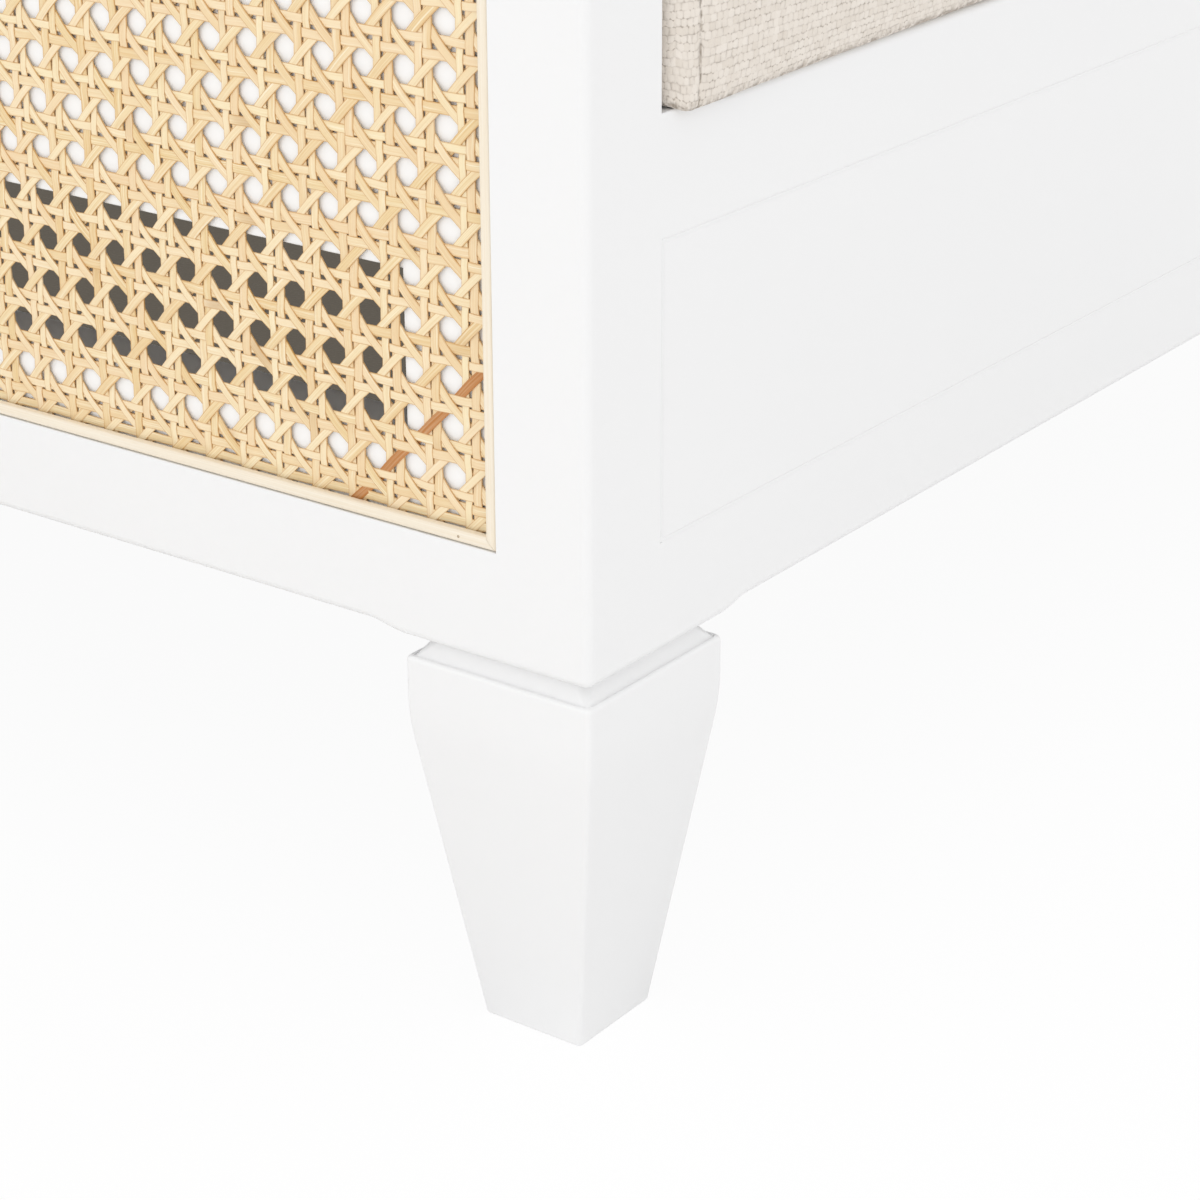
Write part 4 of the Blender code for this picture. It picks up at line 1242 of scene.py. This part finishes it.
def box_lines(size, cell, near, far):
    """Places along one side of a box: the given distances from its two ends, and even steps between them."""
    first, last = near[-1] - size / 2, size / 2 - far[-1]
    between = np.linspace(first, last, max(2, round((last - first) / cell)) + 1)[1:-1]
    return np.concatenate([np.array(near) - size / 2, between, size / 2 - np.array(far)[::-1]])


def round_pair(points, first, second, size, radius, chosen):
    """Round the box edges between two pairs of sides, at the chosen points."""
    limits = [size[first] / 2 - radius, size[second] / 2 - radius]
    a = (np.abs(points[:, first]) - limits[0]) / radius
    b = (np.abs(points[:, second]) - limits[1]) / radius
    near = (a > 0) & (b > 0) & chosen
    a, b = np.clip(a[near], 0, 1), np.clip(b[near], 0, 1)
    points[near, first] = np.sign(points[near, first]) * (limits[0] + radius * a * np.sqrt(1 - b * b / 2))
    points[near, second] = np.sign(points[near, second]) * (limits[1] + radius * b * np.sqrt(1 - a * a / 2))


def round_box(rows, size, radii):
    """The skin of a box with round edges about its own middle: points, the same on the flat, and faces."""
    upright_radius, top_radius, foot_radius = radii
    keys, faces = lattice([len(row) - 1 for row in rows])
    flat = np.stack([rows[axis][keys[:, axis].astype(int)] for axis in range(3)], axis=1)
    points = flat.copy()
    upper = flat[:, Z] > 0
    for chosen, radius in ((upper, top_radius), (~upper, foot_radius)):
        round_pair(points, Y, Z, size, radius, chosen)
        round_pair(points, X, Z, size, radius, chosen)
    round_pair(points, X, Y, size, upright_radius, upper | ~upper)
    return points, flat, faces


def cover_maps(mesh, flat, faces, size, face_axis, seam_in):
    """Two maps on a cover: the cloth's flat lengths, and how far each place is from the panel's seams.

    The panels of the face axis are sewn all round. The others are sewn to them, and the two that look
    forward and back have an upright seam a little in from each end, with the sides' cloth beyond it.
    A seat's foot counts as nearer than it is, which widens its shade.
    """
    half = [length / 2 for length in size]
    ways = {X: (Y, Z), Y: (X, Z), Z: (X, Y)}
    foot_scale = FOOT_SHADE if face_axis == Z else 1.0
    cloth_values, seam_values = [], []
    for loop, axis in faces:
        first, second = ways[axis]
        beyond = half[X] - min(abs(flat[index][X]) for index in loop)
        turned = axis == Y and beyond < seam_in + TOUCH
        for index in loop:
            place = flat[index]
            along, up = place[first], place[second]
            if turned:
                along = math.copysign(half[Y] + half[X] - abs(place[X]), place[Y])
            shift = SIDE_CLOTH_SHIFT if axis == X or turned else 0.0
            cloth_values += [along + shift, up + axis * PANEL_CLOTH_SHIFT]
            if axis == face_axis:
                seam_values += [half[first] - abs(along), half[second] - abs(up)]
                continue
            sewn_upright = axis == Y and seam_in
            upright = abs(half[X] - abs(place[X]) - seam_in) if sewn_upright else FAR_FROM_SEAMS
            level, foot = half[face_axis] - place[face_axis], half[face_axis] + place[face_axis]
            seam_values += [upright, min(level, foot * foot_scale)]
    mesh.uv_layers.new(name="cloth").data.foreach_set("uv", cloth_values)
    mesh.uv_layers.new(name="seam").data.foreach_set("uv", seam_values)


def cushion_mesh(name, points, faces):
    mesh = bpy.data.meshes.new(name)
    mesh.from_pydata(points.tolist(), [], [loop for loop, axis in faces])
    mesh.update()
    return mesh


def dome(first, second):
    """The share of a crown at a place from -1 to 1 each way."""
    return np.clip(1 - first * first, 0, 1) * np.clip(1 - second * second, 0, 1)


def read_points(mesh):
    points = np.zeros(len(mesh.vertices) * 3)
    mesh.vertices.foreach_get("co", points)
    return points.reshape(-1, 3)


def held_points(flat, half):
    """The points on a cover's box edges and on its foot, which the stuffing's block holds in place."""
    sides = sum(np.abs(flat[:, axis]) > half[axis] - TOUCH for axis in range(3))
    return (sides > 1) | (flat[:, Z] < TOUCH - half[Z])


def draw_in(points, flat, half):
    """Pull the sides of a cover in between its corners."""
    across, deep = flat[:, X] / half[X], flat[:, Y] / half[Y]
    points[:, X] -= SIDE_DRAW * across * (1 - deep * deep)
    points[:, Y] -= SIDE_DRAW * deep * (1 - across * across)


def blow_up(mesh, held):
    """Let the stuffing press the cover out between its held edges, and limit how far any point goes."""
    before = read_points(mesh)
    made = add_object("scratch", mesh)
    made.vertex_groups.new(name="held").add(np.flatnonzero(held).tolist(), 1.0, "REPLACE")
    cloth = made.modifiers.new("cover", "CLOTH")
    cloth.settings.vertex_group_mass = "held"
    for name, value in COVER_CLOTH.items():
        setattr(cloth.settings, name, value)
    cloth.settings.effector_weights.gravity = 0
    cloth.collision_settings.use_collision = False
    cloth.collision_settings.use_self_collision = False
    cloth.point_cache.frame_start = 1
    cloth.point_cache.frame_end = COVER_FRAMES
    for number in range(1, COVER_FRAMES + 1):
        bpy.context.scene.frame_set(number)
    result = evaluated_mesh(made)
    bpy.context.scene.frame_set(1)
    remove_object(made)
    move = read_points(result) - before
    length = np.linalg.norm(move, axis=1, keepdims=True)
    move *= np.minimum(1.0, COVER_MOST * np.tanh(length / COVER_MOST) / np.maximum(length, 1e-9))
    result.vertices.foreach_set("co", (before + move).ravel())
    return result


def press(values, limit, soft):
    """Values pressed softly against a limit that they can't pass."""
    start = limit - soft
    over = np.maximum(values - start, 0)
    return np.where(values > start, start + soft * np.tanh(over / soft), values)


def pressed_between(values, low, high, soft):
    return -press(-press(values, high, soft), -low, soft)


def smoothed(mesh):
    """One subdivision of a cover, shaded smooth."""
    made = add_object("scratch", mesh)
    smooth = made.modifiers.new("smooth", "SUBSURF")
    smooth.levels = smooth.render_levels = 1
    result = evaluated_mesh(made)
    remove_object(made)
    result.shade_smooth()
    return result


def add_cushion(body, mesh, points):
    mesh.vertices.foreach_set("co", points.ravel())
    nodes = (f"{body}_cover", f"{body}_core")
    return add_piece(f"{body}_in_cloth", smoothed(mesh), CLOTH, body, "basket_weave_cloth", *nodes)


def seat_crown(points, half, middle):
    return SEAT_CROWN * dome(points[:, X] / half[X], (points[:, Y] - middle.y) / half[Y])


def make_seat_cushion():
    low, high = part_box("seat_cushion_cover")
    front, flat_top = FRONT_Y - SEAT_FRONT_PROUD, high.z - SEAT_CROWN
    size = [high.x - low.x, high.y - front - SWELL, flat_top - low.z - SWELL]
    half = [length / 2 for length in size]
    middle = Vector((0, front + half[Y], low.z + half[Z]))
    rows = [box_lines(length, COVER_CELL, EDGE_LINES, EDGE_LINES) for length in size[:2]]
    rows.append(box_lines(size[Z], COVER_CELL, FOOT_LINES, EDGE_LINES))
    points, flat, faces = round_box(rows, size, SEAT_RADII)
    points += np.array(middle)
    points[:, Z] += seat_crown(points, half, middle) * np.clip(flat[:, Z] / half[Z], 0, 1)
    draw_in(points, flat, half)
    mesh = cushion_mesh("seat_cushion", points, faces)
    cover_maps(mesh, flat, faces, size, Z, SEAM_IN)
    mesh = blow_up(mesh, held_points(flat, half))
    points = read_points(mesh)
    side = INNER_X - SIDE_ROOM
    points[:, X] = pressed_between(points[:, X], -side, side, SEAT_SOFT[X])
    points[:, Y] = pressed_between(points[:, Y], front - FRONT_BULGE, INNER_REAR_Y - SIDE_ROOM, SEAT_SOFT[Y])
    points[:, Z] = press(points[:, Z], flat_top + seat_crown(points, half, middle), SEAT_SOFT[Z])
    points[:, Z] = np.maximum(points[:, Z], low.z)
    overhang = np.clip((FRONT_Y - points[:, Y]) / SEAT_FRONT_PROUD, 0, 1)
    overhang *= np.clip(1 - (points[:, Z] - low.z) / HANG_HEIGHT, 0, 1)
    points[:, Z] -= SEAT_FRONT_HANG * overhang
    on_seam = np.abs(half[X] - np.abs(flat[:, X]) - SEAM_IN) < TOUCH
    sewn = on_seam & (np.abs(flat[:, Y]) > half[Y] - TOUCH)
    points[sewn, Y] -= np.sign(flat[sewn, Y]) * SEAM_DEPTH
    piece = add_cushion("seat_cushion", mesh, points)


def back_front(points, half, middle, rear):
    """The level of the back cushion's domed front, thinner towards its top."""
    up = np.clip((points[:, Z] - middle.z) / half[Z], -1, 1)
    taper = BACK_TAPER * (up + 1) / 2
    return rear - BACK_THICKNESS + taper - BACK_CROWN * dome(points[:, X] / half[X], up)


def make_back_cushion():
    low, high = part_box("back_cushion_cover")
    size = [high.x - low.x - SWELL, BACK_THICKNESS - SWELL, high.z - low.z - SWELL]
    half = [length / 2 for length in size]
    middle = Vector((0, high.y - half[Y], low.z + half[Z]))
    rows = [box_lines(length, COVER_CELL, EDGE_LINES, EDGE_LINES) for length in size]
    points, flat, faces = round_box(rows, size, BACK_RADII)
    points += np.array(middle)
    lead = back_front(points, half, middle, high.y) - (high.y - BACK_THICKNESS)
    points[:, Y] += lead * np.clip(-flat[:, Y] / half[Y], 0, 1)
    mesh = cushion_mesh("back_cushion", points, faces)
    cover_maps(mesh, flat, faces, size, Y, 0.0)
    mesh = blow_up(mesh, held_points(flat, half))
    points = read_points(mesh)
    side = INNER_X - SIDE_ROOM
    points[:, X] = pressed_between(points[:, X], -side, side, BACK_SOFT[X])
    points[:, Y] = press(points[:, Y], INNER_REAR_Y - SIDE_ROOM, BACK_SOFT[Y])
    front = back_front(points, half, middle, high.y) - FRONT_BULGE
    points[:, Y] = -press(-points[:, Y], -front, BACK_SOFT[Z])
    points[:, Z] = pressed_between(points[:, Z], low.z, high.z + BACK_RISE, BACK_SOFT[Z])
    piece = add_cushion("back_cushion", mesh, points)


# Deck, dust cover and the hidden hardware
def make_deck():
    low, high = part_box("deck_pad")
    size = [high[axis] - low[axis] for axis in range(3)]
    rows = [box_lines(length, DECK_CELL, DECK_LINES, DECK_LINES) for length in size[:2]]
    rows.append(np.linspace(-size[Z] / 2, size[Z] / 2, 4))
    points, _, faces = round_box(rows, size, DECK_RADII)
    mesh = cushion_mesh("deck_pad", points + np.array((low + high) / 2), faces)
    piece = add_piece("deck_pad_felt", smoothed(mesh), FELT, "frame", "deck_felt", "deck_pad")


def make_dust_cover():
    low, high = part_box("dust_cover")
    width, depth = high.x - low.x, high.y - low.y
    bm = bmesh.new()
    bmesh.ops.create_grid(bm, x_segments=DUST_CLOTH_CELLS, y_segments=DUST_CLOTH_CELLS, size=0.5)
    bmesh.ops.scale(bm, vec=(width, depth, 1), verts=bm.verts)
    bmesh.ops.translate(bm, vec=(low + high) / 2, verts=bm.verts)
    mesh = to_mesh(bm)
    mesh.shade_smooth()
    piece = add_piece("dust_cover_cloth", mesh, DUST_CLOTH, "frame", "black_cloth", "dust_cover")


def finish_hidden_nodes():
    """Materials of the CAD nodes that are shown as they are."""
    for name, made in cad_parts.items():
        if made.hide_render:
            continue
        if name.startswith(("seat_spring", "leg_bolt")):
            finish = STEEL
        elif name.endswith("spring_cleat"):
            finish = BARE_WOOD
        else:
            finish = PAINT
        made.data.materials.clear()
        made.data.materials.append(finish)


# Camera, light and floor
def make_camera():
    """Close to the front left corner, looking down across it."""
    data = bpy.data.cameras.new("camera")
    data.lens = LENS
    data.sensor_width = SENSOR
    data.clip_start, data.clip_end = 0.01, 100.0
    camera = add_object("camera", data)
    yaw, pitch, roll = (math.radians(angle) for angle in CAMERA_TURN)
    ahead = Vector((math.sin(yaw), math.cos(yaw), 0))
    aside = Vector((math.cos(yaw), -math.sin(yaw), 0))
    up = Vector((0, 0, 1))
    forward = math.cos(pitch) * ahead - math.sin(pitch) * up
    rise = math.sin(pitch) * ahead + math.cos(pitch) * up
    right = math.cos(roll) * aside + math.sin(roll) * rise
    top = -math.sin(roll) * aside + math.cos(roll) * rise
    place = Vector((-SIDE_X, FRONT_Y, RAIL_BASE)) + Vector(CAMERA_PLACE)
    camera.matrix_world = Matrix.Translation(place) @ Matrix((right, top, -forward)).transposed().to_4x4()
    bpy.context.scene.camera = camera


def make_light():
    world = bpy.data.worlds.new("studio")
    bpy.context.scene.world = world
    world.use_nodes = True
    nodes = Nodes(world.node_tree)
    background = world.node_tree.nodes["Background"].inputs
    nodes.link((1, 1, 1), background["Color"])
    (seen,) = nodes.rays("Is Camera Ray")
    nodes.link(seen * (1.0 - WORLD_LIGHT) + WORLD_LIGHT, background["Strength"])
    for name, (towards, strength, angle) in LAMPS.items():
        data = bpy.data.lights.new(name, "SUN")
        data.energy = strength
        data.angle = math.radians(angle)
        lamp = add_object(name, data)
        lamp.rotation_mode = "QUATERNION"
        lamp.rotation_quaternion = Vector(towards).to_track_quat("Z", "Y")


def make_floor():
    """A pale floor that shows nearly white and keeps a faint shadow of the chair."""
    finish = Finish("floor", (0.95, 0.95, 0.95), 0.9, 0.0)
    cloud = finish.noise(finish.place(), 3.0)
    finish.set("Base Color", finish.mix(cloud, (0.945, 0.945, 0.945), (0.955, 0.955, 0.955)))
    camera, glossy, clear = finish.rays("Is Camera Ray", "Is Glossy Ray", "Is Transmission Ray")
    seen = finish.maths("MAXIMUM", finish.maths("MAXIMUM", camera, glossy), clear)
    finish.mix_surface(seen * FLOOR_WHITENESS, finish.add("ShaderNodeEmission"))
    bm = bmesh.new()
    bmesh.ops.create_grid(bm, x_segments=1, y_segments=1, size=FLOOR_SIZE)
    mesh = to_mesh(bm, "floor")
    mesh.materials.append(finish.material)
    add_object("floor", mesh)


bpy.context.scene.view_settings.view_transform = "Standard"
make_camera()
make_light()
make_floor()
make_painted_frame()
make_seat_boards()
make_legs()
make_beads()
make_canes()
make_seat_cushion()
make_back_cushion()
make_deck()
make_dust_cover()
finish_hidden_nodes()
